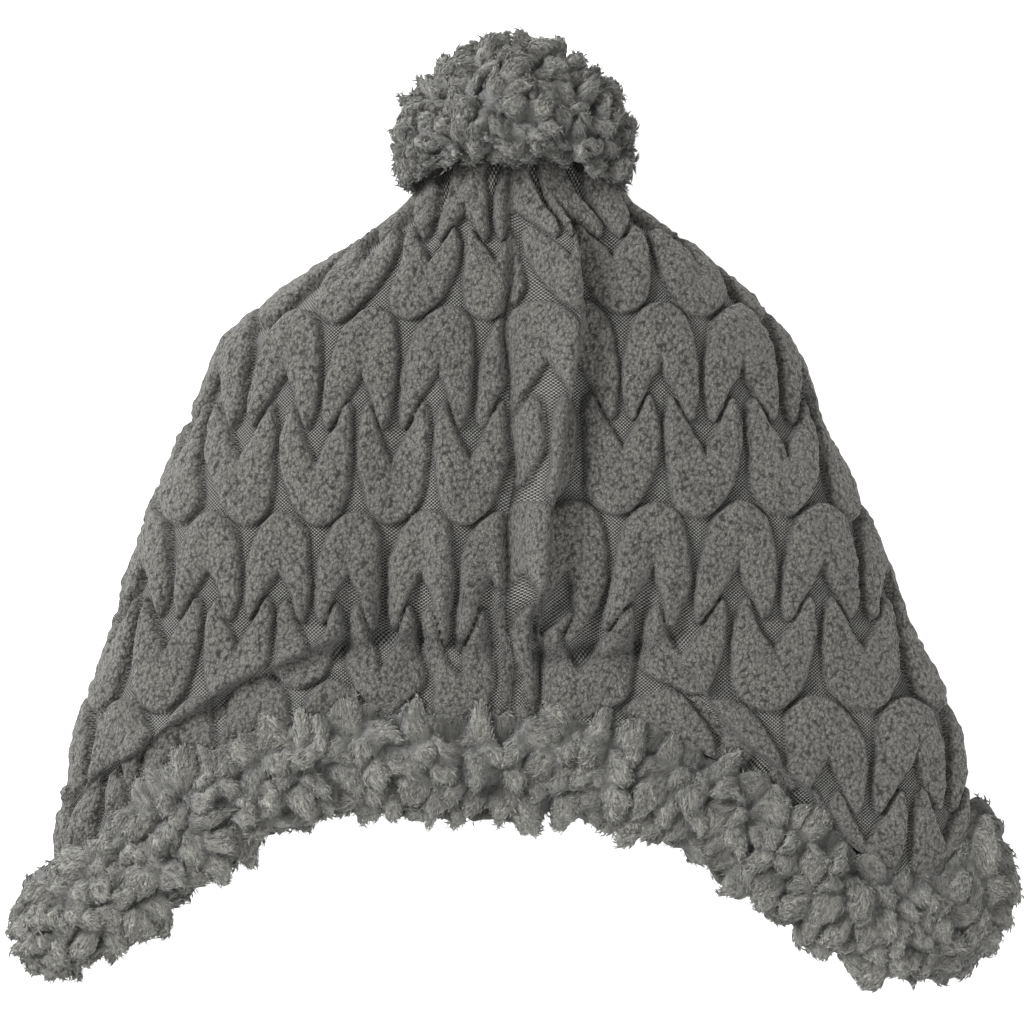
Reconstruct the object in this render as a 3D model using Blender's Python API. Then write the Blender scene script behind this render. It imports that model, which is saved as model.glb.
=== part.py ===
"""Baby hat with ear flaps, lying flat on its front: two padded fleece panels, a plush border and a pompom.

The hat lies in the XY plane with its crown towards +Y and its mouth towards -Y. The upper layer is the
back of the hat and the lower layer its forehead. The origin is on the floor, under the middle of the hat.
"""

import math

import bmesh
import bpy
import numpy as np
from mathutils import Vector
from mathutils.bvhtree import BVHTree

# Driving sizes of the fleece panels, in metres
CROWN_LENGTH = 0.147
FLAP_LENGTH = 0.187
LEFT_WIDTH = 0.1235
RIGHT_WIDTH = 0.122
PUFF_HEIGHT = 0.050
WALL = 0.0055
SEAM_GAP = 0.0003
FOREHEAD_RISE = 0.008
FLAT_WITHIN = 0.00002

# Shape of a section across the hat: a high power gives a flat layer with a tight fold
UPPER_POWER = 2.2
LOWER_POWER = 10.0

# Gathers, seam and folds pressed into the upper layer
NOSE_PLEATS = 5
NOSE_PLEAT_DEPTH = 0.0028
GATHER_PITCH = 0.0090
GATHER_DEPTH = 0.0024
ELASTIC_DEPTH = 0.0024
ELASTIC_REACH = 0.042
ELASTIC_SHARE = 0.87
SEAM_DIP = 0.0016
SEAM_WIDTH = 0.0022
FOLD_WIDTH = 0.0100
FOLD_RISE = 0.0100
GATHER_SPREAD_SHARE = 0.09
ELASTIC_SPREAD_SHARE = 0.022

# Curly plush border along the rim of both layers
BORDER_WIDTH = 0.0248
BORDER_TIP_WIDTH = 0.0285
BORDER_OUTER = 0.0062
BORDER_TIP_OUTER = 0.0085
BORDER_INNER = 0.0042
BORDER_TIP_INNER = 0.0034
BORDER_FOREHEAD_INNER = 0.0080
BORDER_FLARE_RATIO = 0.30
BORDER_SMOOTHING = 6
WAY_SHARE = 0.02
CURL_PITCH = 0.0095
CURL_HEIGHT = 0.0030
CURL_SPREAD_SHARE = 0.55
CURL_SEED = 11

# Pompom behind the nose of the crown
POMPOM_RADIUS = 0.0330
POMPOM_SIDE = 0.0012
POMPOM_BEYOND = 0.0048
POMPOM_LIFT = 0.0305
POMPOM_HEART = (0.0, 0.45, -0.25)
PRESS_WAY = (0.0, -0.18, -1.0)
PRESS_SHARE = 0.01
PRESS_ROUNDS = 8
LOCK_COUNT = 110
LOCK_HEIGHT = 0.0032
LOCK_SPREAD_SHARE = 0.45
POMPOM_POINTS = 1050

# One row for each section from the nose to the rim. down: share of CROWN_LENGTH at the centre seam.
# side: share of FLAP_LENGTH at the folds. left, right: share of LEFT_WIDTH and RIGHT_WIDTH. top, under,
# fold: heights of the upper layer, of the lower layer and of the fold between them, as shares of PUFF_HEIGHT.
SECTION_COLUMNS = ("down", "side", "left", "right", "top", "under", "fold")
SECTIONS = (
    (0.000, 0.000, 0.000, 0.000, 0.640, 0.600, 0.620),
    (0.006, 0.004, 0.070, 0.115, 0.740, 0.510, 0.615),
    (0.018, 0.020, 0.140, 0.180, 0.820, 0.440, 0.605),
    (0.037, 0.045, 0.197, 0.244, 0.880, 0.370, 0.590),
    (0.064, 0.075, 0.272, 0.335, 0.925, 0.290, 0.560),
    (0.095, 0.105, 0.342, 0.400, 0.955, 0.210, 0.510),
    (0.143, 0.148, 0.446, 0.482, 0.980, 0.110, 0.430),
    (0.192, 0.192, 0.548, 0.560, 0.995, 0.040, 0.370),
    (0.260, 0.256, 0.652, 0.634, 1.000, 0.000, 0.320),
    (0.330, 0.322, 0.684, 0.676, 1.000, 0.000, 0.290),
    (0.500, 0.492, 0.790, 0.786, 0.990, 0.000, 0.260),
    (0.680, 0.666, 0.868, 0.896, 0.960, 0.000, 0.250),
    (0.850, 0.842, 0.955, 0.990, 0.890, 0.000, 0.240),
    (0.930, 0.926, 0.983, 1.010, 0.860, 0.000, 0.240),
    (1.000, 1.000, 1.000, 1.008, 0.830, 0.000, 0.240),
)

# How far the rim drops from the centre to the flap, as shares of the drop at the fold. across: share of
# the width. left, right: on the upper layer. left_under, right_under: on the lower one.
RIM_COLUMNS = ("across", "left", "right", "left_under", "right_under")
RIM = (
    (0.00, 0.00, 0.00, 0.00, 0.00),
    (0.15, -0.01, 0.00, 0.01, 0.02),
    (0.30, -0.07, 0.06, 0.03, 0.08),
    (0.40, -0.05, 0.17, 0.08, 0.16),
    (0.50, 0.04, 0.32, 0.17, 0.27),
    (0.60, 0.14, 0.53, 0.30, 0.40),
    (0.70, 0.27, 0.73, 0.46, 0.53),
    (0.80, 0.48, 0.94, 0.64, 0.65),
    (0.88, 0.74, 1.04, 0.80, 0.72),
    (0.94, 0.90, 1.02, 0.92, 0.75),
    (1.00, 1.00, 0.80, 1.00, 0.80),
)

# Soft folds of the upper layer. x: share of the side's width, y: share of CROWN_LENGTH below the nose, at
# both ends of the fold. wide: share of FOLD_WIDTH, rise: share of FOLD_RISE. A negative rise is a dent.
FOLD_COLUMNS = ("x0", "y0", "x1", "y1", "wide", "rise")
FOLDS = (
    (0.100, 0.060, 0.130, 0.260, 0.85, 0.50),
    (0.130, 0.260, 0.065, 0.560, 0.75, 0.60),
    (0.065, 0.560, 0.055, 0.800, 0.65, 0.45),
    (0.210, 0.160, 0.165, 0.760, 0.70, -0.30),
    (-0.150, 0.360, -0.125, 0.800, 0.75, 0.26),
    (-0.230, 0.420, -0.250, 0.790, 0.70, -0.26),
    (-0.420, 0.960, -0.820, 1.120, 0.65, 0.36),
    (0.440, 0.960, 0.840, 1.180, 0.70, 0.34),
)

# Section rows and columns of the panel meshes, as shares
ROWS = (
    0.006, 0.018, 0.037, 0.064, 0.095, 0.143, 0.20, 0.27, 0.35, 0.43, 0.51,
    0.59, 0.66, 0.72, 0.77, 0.81, 0.84, 0.865, 0.89, 0.92, 0.96, 1.0,
)
GATHERED_SHARE = 0.36
GATHERED_STEPS = 16
UPPER_STEPS = 10
FOLD_START_SHARE = 0.90
FOLD_STEPS = 4
LOWER_STEPS = 10

# Cross-section of the border from its seam: along its width, and across its thickness from the inner
# side, -1, to the outer, 1. curl: share of the curl height that the point takes.
BORDER_SECTION_COLUMNS = ("along", "across", "curl")
BORDER_SECTION = (
    (0.06, 0.90, 0.20),
    (0.22, 1.04, 0.90),
    (0.45, 1.10, 1.00),
    (0.68, 1.00, 1.00),
    (0.88, 0.72, 1.00),
    (1.00, 0.00, 0.90),
    (0.90, -0.70, 0.60),
    (0.68, -1.00, 0.30),
    (0.40, -1.05, 0.15),
    (0.18, -1.02, 0.00),
    (0.05, -0.90, 0.00),
)

FLEECE_COLOUR = (0.145, 0.142, 0.130, 1.0)
PLUSH_COLOUR = (0.200, 0.196, 0.183, 1.0)
FLEECE_ROUGHNESS = 0.95
PLUSH_ROUGHNESS = 1.0


def column(table, columns, name):
    """One named column of a table, as an array."""
    return np.array([row[columns.index(name)] for row in table])


def eased(table, columns, name, at):
    """A column read at a share of the first column, along a smooth curve that never overshoots its rows."""
    xs = column(table, columns, columns[0])
    ys = column(table, columns, name)
    steps = np.diff(xs)
    slopes = np.diff(ys) / steps
    tangents = np.zeros(len(xs))
    tangents[0], tangents[-1] = slopes[0], slopes[-1]
    same_way = slopes[:-1] * slopes[1:] > 0
    with np.errstate(divide="ignore", invalid="ignore"):
        harmonic = 2 * slopes[:-1] * slopes[1:] / (slopes[:-1] + slopes[1:])
    tangents[1:-1] = np.where(same_way, harmonic, 0.0)
    at = np.clip(np.asarray(at, float), xs[0], xs[-1])
    i = np.clip(np.searchsorted(xs, at, side="right") - 1, 0, len(steps) - 1)
    t = (at - xs[i]) / steps[i]
    return (
        (1 + 2 * t) * (1 - t) ** 2 * ys[i]
        + t * (1 - t) ** 2 * steps[i] * tangents[i]
        + t * t * (3 - 2 * t) * ys[i + 1]
        + t * t * (t - 1) * steps[i] * tangents[i + 1]
    )


def section(name, down):
    return eased(SECTIONS, SECTION_COLUMNS, name, down)


def smooth_step(low, high, value):
    t = np.clip((value - low) / (high - low), 0.0, 1.0)
    return t * t * (3 - 2 * t)


def side_width(side):
    return RIGHT_WIDTH if side > 0 else LEFT_WIDTH


def side_name(side):
    return "right" if side > 0 else "left"


def plan_point(side, upper, across, down):
    """x and y of a point of a layer, with the nose of the crown at y 0 and the mouth towards -y."""
    across = np.asarray(across, float)
    half_width = side_width(side) * section(side_name(side), down)
    centre_y = -CROWN_LENGTH * down
    fold_y = -FLAP_LENGTH * section("side", down)
    rim_drop = eased(RIM, RIM_COLUMNS, side_name(side) + ("" if upper else "_under"), across)
    towards_rim = smooth_step(0.45, 1.0, down)
    drop = (1 - towards_rim) * across**2 + towards_rim * rim_drop
    y = centre_y + (fold_y - centre_y) * drop
    if not upper:
        y = y + FOREHEAD_RISE * (1 - across**2) * down**2
    return side * half_width * across, y


def fold_height(x, y):
    """Rise of the soft folds at a point of the upper layer."""
    total = np.zeros(np.broadcast(x, y).shape)
    for row in FOLDS:
        fold = dict(zip(FOLD_COLUMNS, row))
        fold_side = 1 if fold["x0"] > 0 else -1
        width = side_width(fold_side)
        x0, y0 = fold["x0"] * width, -fold["y0"] * CROWN_LENGTH
        x1, y1 = fold["x1"] * width, -fold["y1"] * CROWN_LENGTH
        run_x, run_y = x1 - x0, y1 - y0
        length = math.hypot(run_x, run_y)
        along = ((x - x0) * run_x + (y - y0) * run_y) / length**2
        nearest = np.clip(along, 0.0, 1.0)
        away = np.hypot(x - x0 - nearest * run_x, y - y0 - nearest * run_y)
        total = total + FOLD_RISE * fold["rise"] * np.exp(-((away / (FOLD_WIDTH * fold["wide"])) ** 2))
    return total


def gather_depth(x, down):
    """Depth of the pleats and the groove that the elastic draws into the nape, and of the centre seam."""
    near_line = np.exp(-(((down - ELASTIC_SHARE) / GATHER_SPREAD_SHARE) ** 2))
    on_line = np.exp(-(((down - ELASTIC_SHARE) / ELASTIC_SPREAD_SHARE) ** 2))
    within = 1 - smooth_step(0.75 * ELASTIC_REACH, 1.15 * ELASTIC_REACH, np.abs(x))
    pleats = 0.5 - 0.5 * np.cos(2 * math.pi * x / GATHER_PITCH)
    seam = SEAM_DIP * np.exp(-((x / SEAM_WIDTH) ** 2))
    return within * (GATHER_DEPTH * pleats * near_line + ELASTIC_DEPTH * on_line) + seam


def nose_depth(across, down):
    """Depth of the pleats that gather the crown at its nose."""
    fade = smooth_step(0.0, 0.03, down) * (1 - smooth_step(0.07, 0.22, down))
    return NOSE_PLEAT_DEPTH * fade * (0.5 - 0.5 * np.cos(2 * math.pi * NOSE_PLEATS * across))


def layer_point(side, upper, across, down, inset=0.0):
    """A point of the smooth panel, inset from its outer face. The nose is at y 0 and the floor at z 0."""
    x, y = plan_point(side, upper, across, down)
    half_width = np.abs(side_width(side) * section(side_name(side), down))
    x = x * np.maximum(half_width - inset, 0.0) / np.maximum(half_width, 1e-9)
    fold_z = PUFF_HEIGHT * section("fold", down)
    if upper:
        reach = np.maximum(PUFF_HEIGHT * section("top", down) - inset - fold_z, 0.0)
        z = fold_z + reach * np.sqrt(np.clip(1 - across**UPPER_POWER, 0, 1))
    else:
        reach = np.maximum(fold_z - PUFF_HEIGHT * section("under", down) - inset, 0.0)
        z = fold_z - reach * np.sqrt(np.clip(1 - across**LOWER_POWER, 0, 1))
        z = np.where(z < FLAT_WITHIN, 0.0, z)
    return x + side * SEAM_GAP / 2, y, z


def fold_rise(across, x, y, down):
    """Rise of the soft folds, fading out at the nose and at the ear folds."""
    return fold_height(x, y) * smooth_step(0.03, 0.12, down) * np.sqrt(np.clip(1 - across**4, 0, 1))


def outer_point(side, upper, across, down):
    """A point of the outer face, with its folds, gathers and seam."""
    x, y, z = layer_point(side, upper, across, down)
    if upper:
        flat = np.sqrt(np.clip(1 - across**4, 0, 1))
        pressed = gather_depth(x, down) * smooth_step(0.0, 0.03, down) + nose_depth(across, down)
        z = z + fold_rise(across, x, y, down) - flat * pressed
    return x, y, z


def inner_point(side, upper, across, down):
    """A point of the inner face, which follows the soft folds but not the gathers."""
    x, y, z = layer_point(side, upper, across, down, WALL)
    if upper:
        z = z + fold_rise(across, x, y, down)
    return x, y, z


def path_round_section():
    """(upper, across) at each column, from the upper seam round the fold to the lower seam."""
    near = np.linspace(0.0, GATHERED_SHARE, GATHERED_STEPS, endpoint=False)
    middle = np.linspace(GATHERED_SHARE, FOLD_START_SHARE, UPPER_STEPS, endpoint=False)
    turn = np.linspace(0.0, math.pi / 2, FOLD_STEPS, endpoint=False)
    to_fold = FOLD_START_SHARE + (1 - FOLD_START_SHARE) * np.sin(turn)
    upper = np.concatenate([near, middle, to_fold])
    from_fold = FOLD_START_SHARE + (1 - FOLD_START_SHARE) * np.cos(turn)
    lower = np.concatenate([from_fold, np.linspace(FOLD_START_SHARE, 0.0, LOWER_STEPS + 1)])
    return [(True, a) for a in upper] + [(False, a) for a in lower]


def zipped(first, second, first_at=None, second_at=None):
    """Triangles between two rows of vertices of different numbers, at given shares of their run."""
    first_at = np.linspace(0, 1, len(first)) if first_at is None else first_at
    second_at = np.linspace(0, 1, len(second)) if second_at is None else second_at
    faces = []
    i = j = 0
    while i < len(first) - 1 or j < len(second) - 1:
        first_is_next = j == len(second) - 1 or (
            i < len(first) - 1 and first_at[i] + first_at[i + 1] <= second_at[j] + second_at[j + 1]
        )
        if first_is_next:
            faces.append((first[i], first[i + 1], second[j]))
            i += 1
        else:
            faces.append((first[i], second[j + 1], second[j]))
            j += 1
    return faces


def sheet_faces(rows, pole):
    """Quads between rows of vertices, and a fan from the pole to the first row."""
    faces = [(pole, rows[0][i], rows[0][i + 1]) for i in range(len(rows[0]) - 1)]
    for upper_row, lower_row in zip(rows, rows[1:]):
        for i in range(len(upper_row) - 1):
            faces.append((upper_row[i], lower_row[i], lower_row[i + 1], upper_row[i + 1]))
    return faces


def material(name, colour, roughness):
    made = bpy.data.materials.new(name)
    made.use_nodes = True
    shader = made.node_tree.nodes["Principled BSDF"]
    shader.inputs["Base Color"].default_value = colour
    shader.inputs["Roughness"].default_value = roughness
    shader.inputs["Metallic"].default_value = 0.0
    return made


def solid_object(name, points, faces, finish, parent):
    """A closed mesh object with its faces turned outwards."""
    mesh = bpy.data.meshes.new(name)
    mesh.from_pydata([tuple(map(float, p)) for p in points], [], faces)
    shape = bmesh.new()
    shape.from_mesh(mesh)
    bmesh.ops.triangulate(shape, faces=shape.faces)
    bmesh.ops.recalc_face_normals(shape, faces=shape.faces)
    shape.to_mesh(mesh)
    shape.free()
    mesh.materials.append(finish)
    mesh.shade_smooth()
    made = bpy.data.objects.new(name, mesh)
    bpy.context.scene.collection.objects.link(made)
    made.parent = parent
    return made


def panel(name, side, finish, parent):
    """Half of the fleece hat, from the upper layer's centre seam round the ear fold to the lower layer's."""
    path = path_round_section()
    inner_path = path[::2] if (len(path) - 1) % 2 == 0 else path[::2] + [path[-1]]
    inner_start = WALL / CROWN_LENGTH
    inner_rows_down = [down for down in ROWS[1::2] if 1.2 * inner_start < down < 1.0]
    points = []

    def add(point):
        points.append([float(c) for c in point])
        return len(points) - 1

    outer_pole = add(outer_point(side, True, 0.0, 0.0))
    pole_x, pole_y, pole_z = layer_point(side, True, 0.0, 0.0)
    inner_pole = add((pole_x, pole_y - WALL, pole_z))
    outer = [[add(outer_point(side, up, a, down)) for up, a in path] for down in ROWS]
    inner = [[add(inner_point(side, up, a, down)) for up, a in inner_path] for down in inner_rows_down]
    inner_rim = [add(inner_point(side, up, a, 1.0)) for up, a in path]
    faces = sheet_faces(outer, outer_pole) + sheet_faces(inner, inner_pole) + zipped(inner[-1], inner_rim)
    inner.append(inner_rim)
    outer_at = (0.0,) + ROWS
    inner_at = [inner_start] + inner_rows_down + [1.0]
    for end in (0, -1):
        outer_edge = [outer_pole] + [row[end] for row in outer]
        inner_edge = [inner_pole] + [row[end] for row in inner]
        faces += zipped(outer_edge, inner_edge, outer_at, inner_at)
    faces += zipped(outer[-1], inner[-1])
    return solid_object(name, points, faces, finish, parent)


def rim_frames():
    """Both edges of the rim's wall, the way out, and how close each place is to the fold, in a loop."""
    path = path_round_section()
    rim = [(1, up, a) for up, a in path]
    rim += [(-1, up, a) for up, a in reversed(path[1:-1])]
    outer, inner, ways, spans, under = [], [], [], [], []
    for side, up, across in rim:
        edge = np.array(outer_point(side, up, across, 1.0), float)
        lining = np.array(inner_point(side, up, across, 1.0), float)
        before = np.array(layer_point(side, up, across, 1.0 - WAY_SHARE), float)
        way = np.array(layer_point(side, up, across, 1.0), float) - before
        way /= np.linalg.norm(way)
        way[0] += side * BORDER_FLARE_RATIO * across**8
        if across == 0:
            edge[0] = lining[0] = way[0] = 0.0
        outer.append(edge)
        inner.append(lining)
        ways.append(way)
        spans.append(across)
        under.append(0.0 if up else 1.0)
    outer, inner, ways = np.array(outer), np.array(inner), np.array(ways)
    centres = (outer + inner) / 2
    along = np.roll(centres, -1, axis=0) - np.roll(centres, 1, axis=0)
    along /= np.linalg.norm(along, axis=1)[:, None]
    ways -= (ways * along).sum(1)[:, None] * along
    for _ in range(BORDER_SMOOTHING):
        ways = (np.roll(ways, 1, axis=0) + 2 * ways + np.roll(ways, -1, axis=0)) / 4
    ways /= np.linalg.norm(ways, axis=1)[:, None]
    return outer, inner, ways, along, np.array(spans), np.array(under)


def between(values):
    """The values of a closed loop with their midpoints put in."""
    middles = (values + np.roll(values, -1, axis=0)) / 2
    return np.stack([values, middles], axis=1).reshape(-1, *values.shape[1:])


def curl_bumps(points, spots, radius):
    """0 to 1 at each point: high on a curl and low between curls."""
    away = np.linalg.norm(points[:, None, :] - spots[None, :, :], axis=2)
    return np.exp(-((away.min(1) / radius) ** 2))


def border(name, finish, parent):
    """The plush band round the mouth: a loop of sections along the rim, with curls fused to it."""
    outer, inner, ways, along, spans, under = (between(v) for v in rim_frames())
    ways /= np.linalg.norm(ways, axis=1)[:, None]
    outward = np.cross(ways, along)
    outward /= np.linalg.norm(outward, axis=1)[:, None]
    centres = (outer + inner) / 2
    foldness = spans**8
    width = BORDER_WIDTH + (BORDER_TIP_WIDTH - BORDER_WIDTH) * foldness
    outer_side = BORDER_OUTER + (BORDER_TIP_OUTER - BORDER_OUTER) * foldness
    flat_inner = BORDER_INNER + (BORDER_FOREHEAD_INNER - BORDER_INNER) * under * (1 - spans**4)
    inner_side = flat_inner + (BORDER_TIP_INNER - flat_inner) * foldness
    rings = [inner + ways * SEAM_GAP, outer + ways * SEAM_GAP]
    shares = [np.zeros(len(centres)), np.zeros(len(centres))]
    facing = [ways, ways]
    for run, across, curl in BORDER_SECTION:
        thick = np.where(across > 0, outer_side, inner_side) * across
        rings.append(centres + ways * (SEAM_GAP + run * width)[:, None] + outward * thick[:, None])
        shares.append(np.full(len(centres), curl))
        out = outward * across + ways * max(0.0, 2 * run - 1)
        facing.append(out / np.linalg.norm(out, axis=1)[:, None])
    points = np.stack(rings, axis=1).reshape(-1, 3)
    curl_share = np.stack(shares, axis=1).reshape(-1)
    push = np.stack(facing, axis=1).reshape(-1, 3)
    chance = np.random.default_rng(CURL_SEED)
    spots = points[curl_share > 0]
    spots = spots[chance.permutation(len(spots))]
    chosen = []
    for spot in spots:
        if all(np.linalg.norm(spot - other) > CURL_PITCH for other in chosen):
            chosen.append(spot)
    bumps = curl_bumps(points, np.array(chosen), CURL_SPREAD_SHARE * CURL_PITCH)
    points = points + push * (curl_share * bumps * CURL_HEIGHT)[:, None]
    points[:, 2] = np.maximum(points[:, 2], 0.0)
    count, sides = len(centres), len(rings)
    faces = []
    for i in range(count):
        following = (i + 1) % count
        for j in range(sides):
            beside = (j + 1) % sides
            faces.append(
                (i * sides + j, i * sides + beside, following * sides + beside, following * sides + j)
            )
    return solid_object(name, points, faces, finish, parent)


def sphere_directions(count):
    """Evenly spread directions, from a spiral over the sphere."""
    k = np.arange(count) + 0.5
    height = 1 - 2 * k / count
    turn = math.pi * (1 + math.sqrt(5)) * k
    ring = np.sqrt(1 - height**2)
    return np.column_stack([ring * np.cos(turn), ring * np.sin(turn), height])


def crown_surface(panels):
    """The panels' faces, to measure distances from."""
    points, faces = [], []
    for made in panels:
        first = len(points)
        points += [v.co.copy() for v in made.data.vertices]
        faces += [tuple(first + i for i in face.vertices) for face in made.data.polygons]
    return BVHTree.FromPolygons(points, faces)


def blocked(point, crown):
    """Whether a point is in the crown's wall, within a seam's gap of it, or over it."""
    for aside in (-SEAM_GAP, SEAM_GAP):
        place = point + Vector((aside, 0.0, 0.0))
        if crown.find_nearest(place)[3] < SEAM_GAP or crown.ray_cast(place, Vector(PRESS_WAY))[0] is not None:
            return True
    return False


def pressed_back(heart, surface, faces, crown):
    """How much of its length each lock keeps, so that neither its tip nor a face by it enters the crown."""
    heart = Vector(heart)
    lengths = [Vector(point) - heart for point in surface]
    kept = np.ones(len(lengths))
    for i, whole in enumerate(lengths):
        while kept[i] > 0 and blocked(heart + whole * kept[i], crown):
            kept[i] -= PRESS_SHARE
    for _ in range(PRESS_ROUNDS):
        shorten = set()
        for face in faces:
            corners = [heart + lengths[i] * kept[i] for i in face]
            halves = [(corners[k] + corners[k - 1]) / 2 for k in range(3)]
            if any(blocked(place, crown) for place in halves + [sum(corners, Vector()) / 3]):
                shorten.update(face)
        for i in shorten:
            kept[i] -= PRESS_SHARE
    return kept


def pompom(name, panels, finish, parent):
    """A ball of plush locks, dented where the crown's nose presses into it and flattened on the floor."""
    ways = sphere_directions(POMPOM_POINTS)
    locks = sphere_directions(LOCK_COUNT)
    nearness = (ways @ locks.T).max(1)
    lock_angle = math.sqrt(4 * math.pi / LOCK_COUNT)
    bump = np.exp(-((np.arccos(np.clip(nearness, -1, 1)) / (LOCK_SPREAD_SHARE * lock_angle)) ** 2))
    radius = POMPOM_RADIUS - LOCK_HEIGHT + LOCK_HEIGHT * bump
    hull = bmesh.new()
    for way in ways:
        hull.verts.new(way)
    hull.verts.ensure_lookup_table()
    bmesh.ops.convex_hull(hull, input=hull.verts)
    hull.verts.index_update()
    faces = [tuple(v.index for v in face.verts) for face in hull.faces]
    hull.free()
    middle = np.array([POMPOM_SIDE, POMPOM_BEYOND, POMPOM_LIFT])
    heart = middle + POMPOM_RADIUS * np.array(POMPOM_HEART)
    surface = middle + ways * radius[:, None]
    surface[:, 2] = np.maximum(surface[:, 2], 0.0)
    kept = pressed_back(heart, surface, faces, crown_surface(panels))
    points = heart + (surface - heart) * kept[:, None]
    return solid_object(name, points, faces, finish, parent)


def centre_on_floor(parent, parts):
    """Moves the hat so that the origin is on the floor, under the middle of its box."""
    corners = np.array([v.co for part in parts for v in part.data.vertices])
    low, high = corners.min(0), corners.max(0)
    parent.location = (-(low[0] + high[0]) / 2, -(low[1] + high[1]) / 2, -low[2])


def main():
    for existing in list(bpy.data.objects):
        bpy.data.objects.remove(existing)
    hat = bpy.data.objects.new("hat", None)
    bpy.context.scene.collection.objects.link(hat)
    fleece = material("fleece", FLEECE_COLOUR, FLEECE_ROUGHNESS)
    plush = material("plush", PLUSH_COLOUR, PLUSH_ROUGHNESS)
    panels = [panel("left_panel", -1, fleece, hat), panel("right_panel", 1, fleece, hat)]
    parts = panels + [border("plush_border", plush, hat), pompom("pompom", panels, plush, hat)]
    centre_on_floor(hat, parts)


main()
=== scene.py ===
"""Looks of a baby hat with ear flaps, lying flat on its front: fleece, curly plush border and pompom.

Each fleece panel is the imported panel's own shape made again with a fine mesh, embossed with rows of
leaves that interlock as in a knitted stitch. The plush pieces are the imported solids' own surfaces made
again with a fine mesh, pressed out into lumps of wool with loose fibres on them. All sizes are in metres.
"""

import itertools
import math

import bpy
import numpy as np
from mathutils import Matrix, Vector
from mathutils.bvhtree import BVHTree


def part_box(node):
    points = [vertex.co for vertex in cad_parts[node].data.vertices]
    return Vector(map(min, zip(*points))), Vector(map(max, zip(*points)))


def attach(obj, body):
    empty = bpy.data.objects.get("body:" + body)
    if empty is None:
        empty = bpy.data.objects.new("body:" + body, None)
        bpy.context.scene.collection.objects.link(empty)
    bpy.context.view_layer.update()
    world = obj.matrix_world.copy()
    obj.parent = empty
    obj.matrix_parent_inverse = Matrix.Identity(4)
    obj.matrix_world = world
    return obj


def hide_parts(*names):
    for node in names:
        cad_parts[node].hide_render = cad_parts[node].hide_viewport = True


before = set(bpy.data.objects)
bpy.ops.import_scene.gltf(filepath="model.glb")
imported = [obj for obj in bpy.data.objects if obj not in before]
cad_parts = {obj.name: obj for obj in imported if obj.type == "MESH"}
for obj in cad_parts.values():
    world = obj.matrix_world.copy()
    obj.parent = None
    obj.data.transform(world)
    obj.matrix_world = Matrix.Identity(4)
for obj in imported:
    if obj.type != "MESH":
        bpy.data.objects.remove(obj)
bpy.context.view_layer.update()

bl_info = {
    "name": "Baby hat with ear flaps",
    "version": (1, 0, 0),
    "blender": (4, 5, 0),
    "location": "3D View > Sidebar > Hat",
    "description": "Fleece panels, plush border, pompom and stage of a baby hat",
    "category": "Add Mesh",
}

# Sizes of the panels, as the solids have them
CROWN_LENGTH = 0.147
FLAP_LENGTH = 0.187
LEFT_WIDTH = 0.1235
RIGHT_WIDTH = 0.122
PUFF_HEIGHT = 0.050
WALL = 0.0055
SEAM_GAP = 0.0003
FOREHEAD_RISE = 0.008
FLAT_WITHIN = 0.00002
UPPER_POWER = 2.2
LOWER_POWER = 10.0

# Where the hat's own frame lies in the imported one: the centre seam, and the nose of the crown
SEAM_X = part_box("left_panel")[1][0] + SEAM_GAP / 2
NOSE_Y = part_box("left_panel")[1][1]

SECTION_COLUMNS = ("down", "side", "left", "right", "top", "under", "fold")
SECTIONS = (
    (0.000, 0.000, 0.000, 0.000, 0.640, 0.600, 0.620),
    (0.006, 0.004, 0.070, 0.115, 0.740, 0.510, 0.615),
    (0.018, 0.020, 0.140, 0.180, 0.820, 0.440, 0.605),
    (0.037, 0.045, 0.197, 0.244, 0.880, 0.370, 0.590),
    (0.064, 0.075, 0.272, 0.335, 0.925, 0.290, 0.560),
    (0.095, 0.105, 0.342, 0.400, 0.955, 0.210, 0.510),
    (0.143, 0.148, 0.446, 0.482, 0.980, 0.110, 0.430),
    (0.192, 0.192, 0.548, 0.560, 0.995, 0.040, 0.370),
    (0.260, 0.256, 0.652, 0.634, 1.000, 0.000, 0.320),
    (0.330, 0.322, 0.684, 0.676, 1.000, 0.000, 0.290),
    (0.500, 0.492, 0.790, 0.786, 0.990, 0.000, 0.260),
    (0.680, 0.666, 0.868, 0.896, 0.960, 0.000, 0.250),
    (0.850, 0.842, 0.955, 0.990, 0.890, 0.000, 0.240),
    (0.930, 0.926, 0.983, 1.010, 0.860, 0.000, 0.240),
    (1.000, 1.000, 1.000, 1.008, 0.830, 0.000, 0.240),
)
RIM_COLUMNS = ("across", "left", "right", "left_under", "right_under")
RIM = (
    (0.00, 0.00, 0.00, 0.00, 0.00),
    (0.15, -0.01, 0.00, 0.01, 0.02),
    (0.30, -0.07, 0.06, 0.03, 0.08),
    (0.40, -0.05, 0.17, 0.08, 0.16),
    (0.50, 0.04, 0.32, 0.17, 0.27),
    (0.60, 0.14, 0.53, 0.30, 0.40),
    (0.70, 0.27, 0.73, 0.46, 0.53),
    (0.80, 0.48, 0.94, 0.64, 0.65),
    (0.88, 0.74, 1.04, 0.80, 0.72),
    (0.94, 0.90, 1.02, 0.92, 0.75),
    (1.00, 1.00, 0.80, 1.00, 0.80),
)

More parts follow.
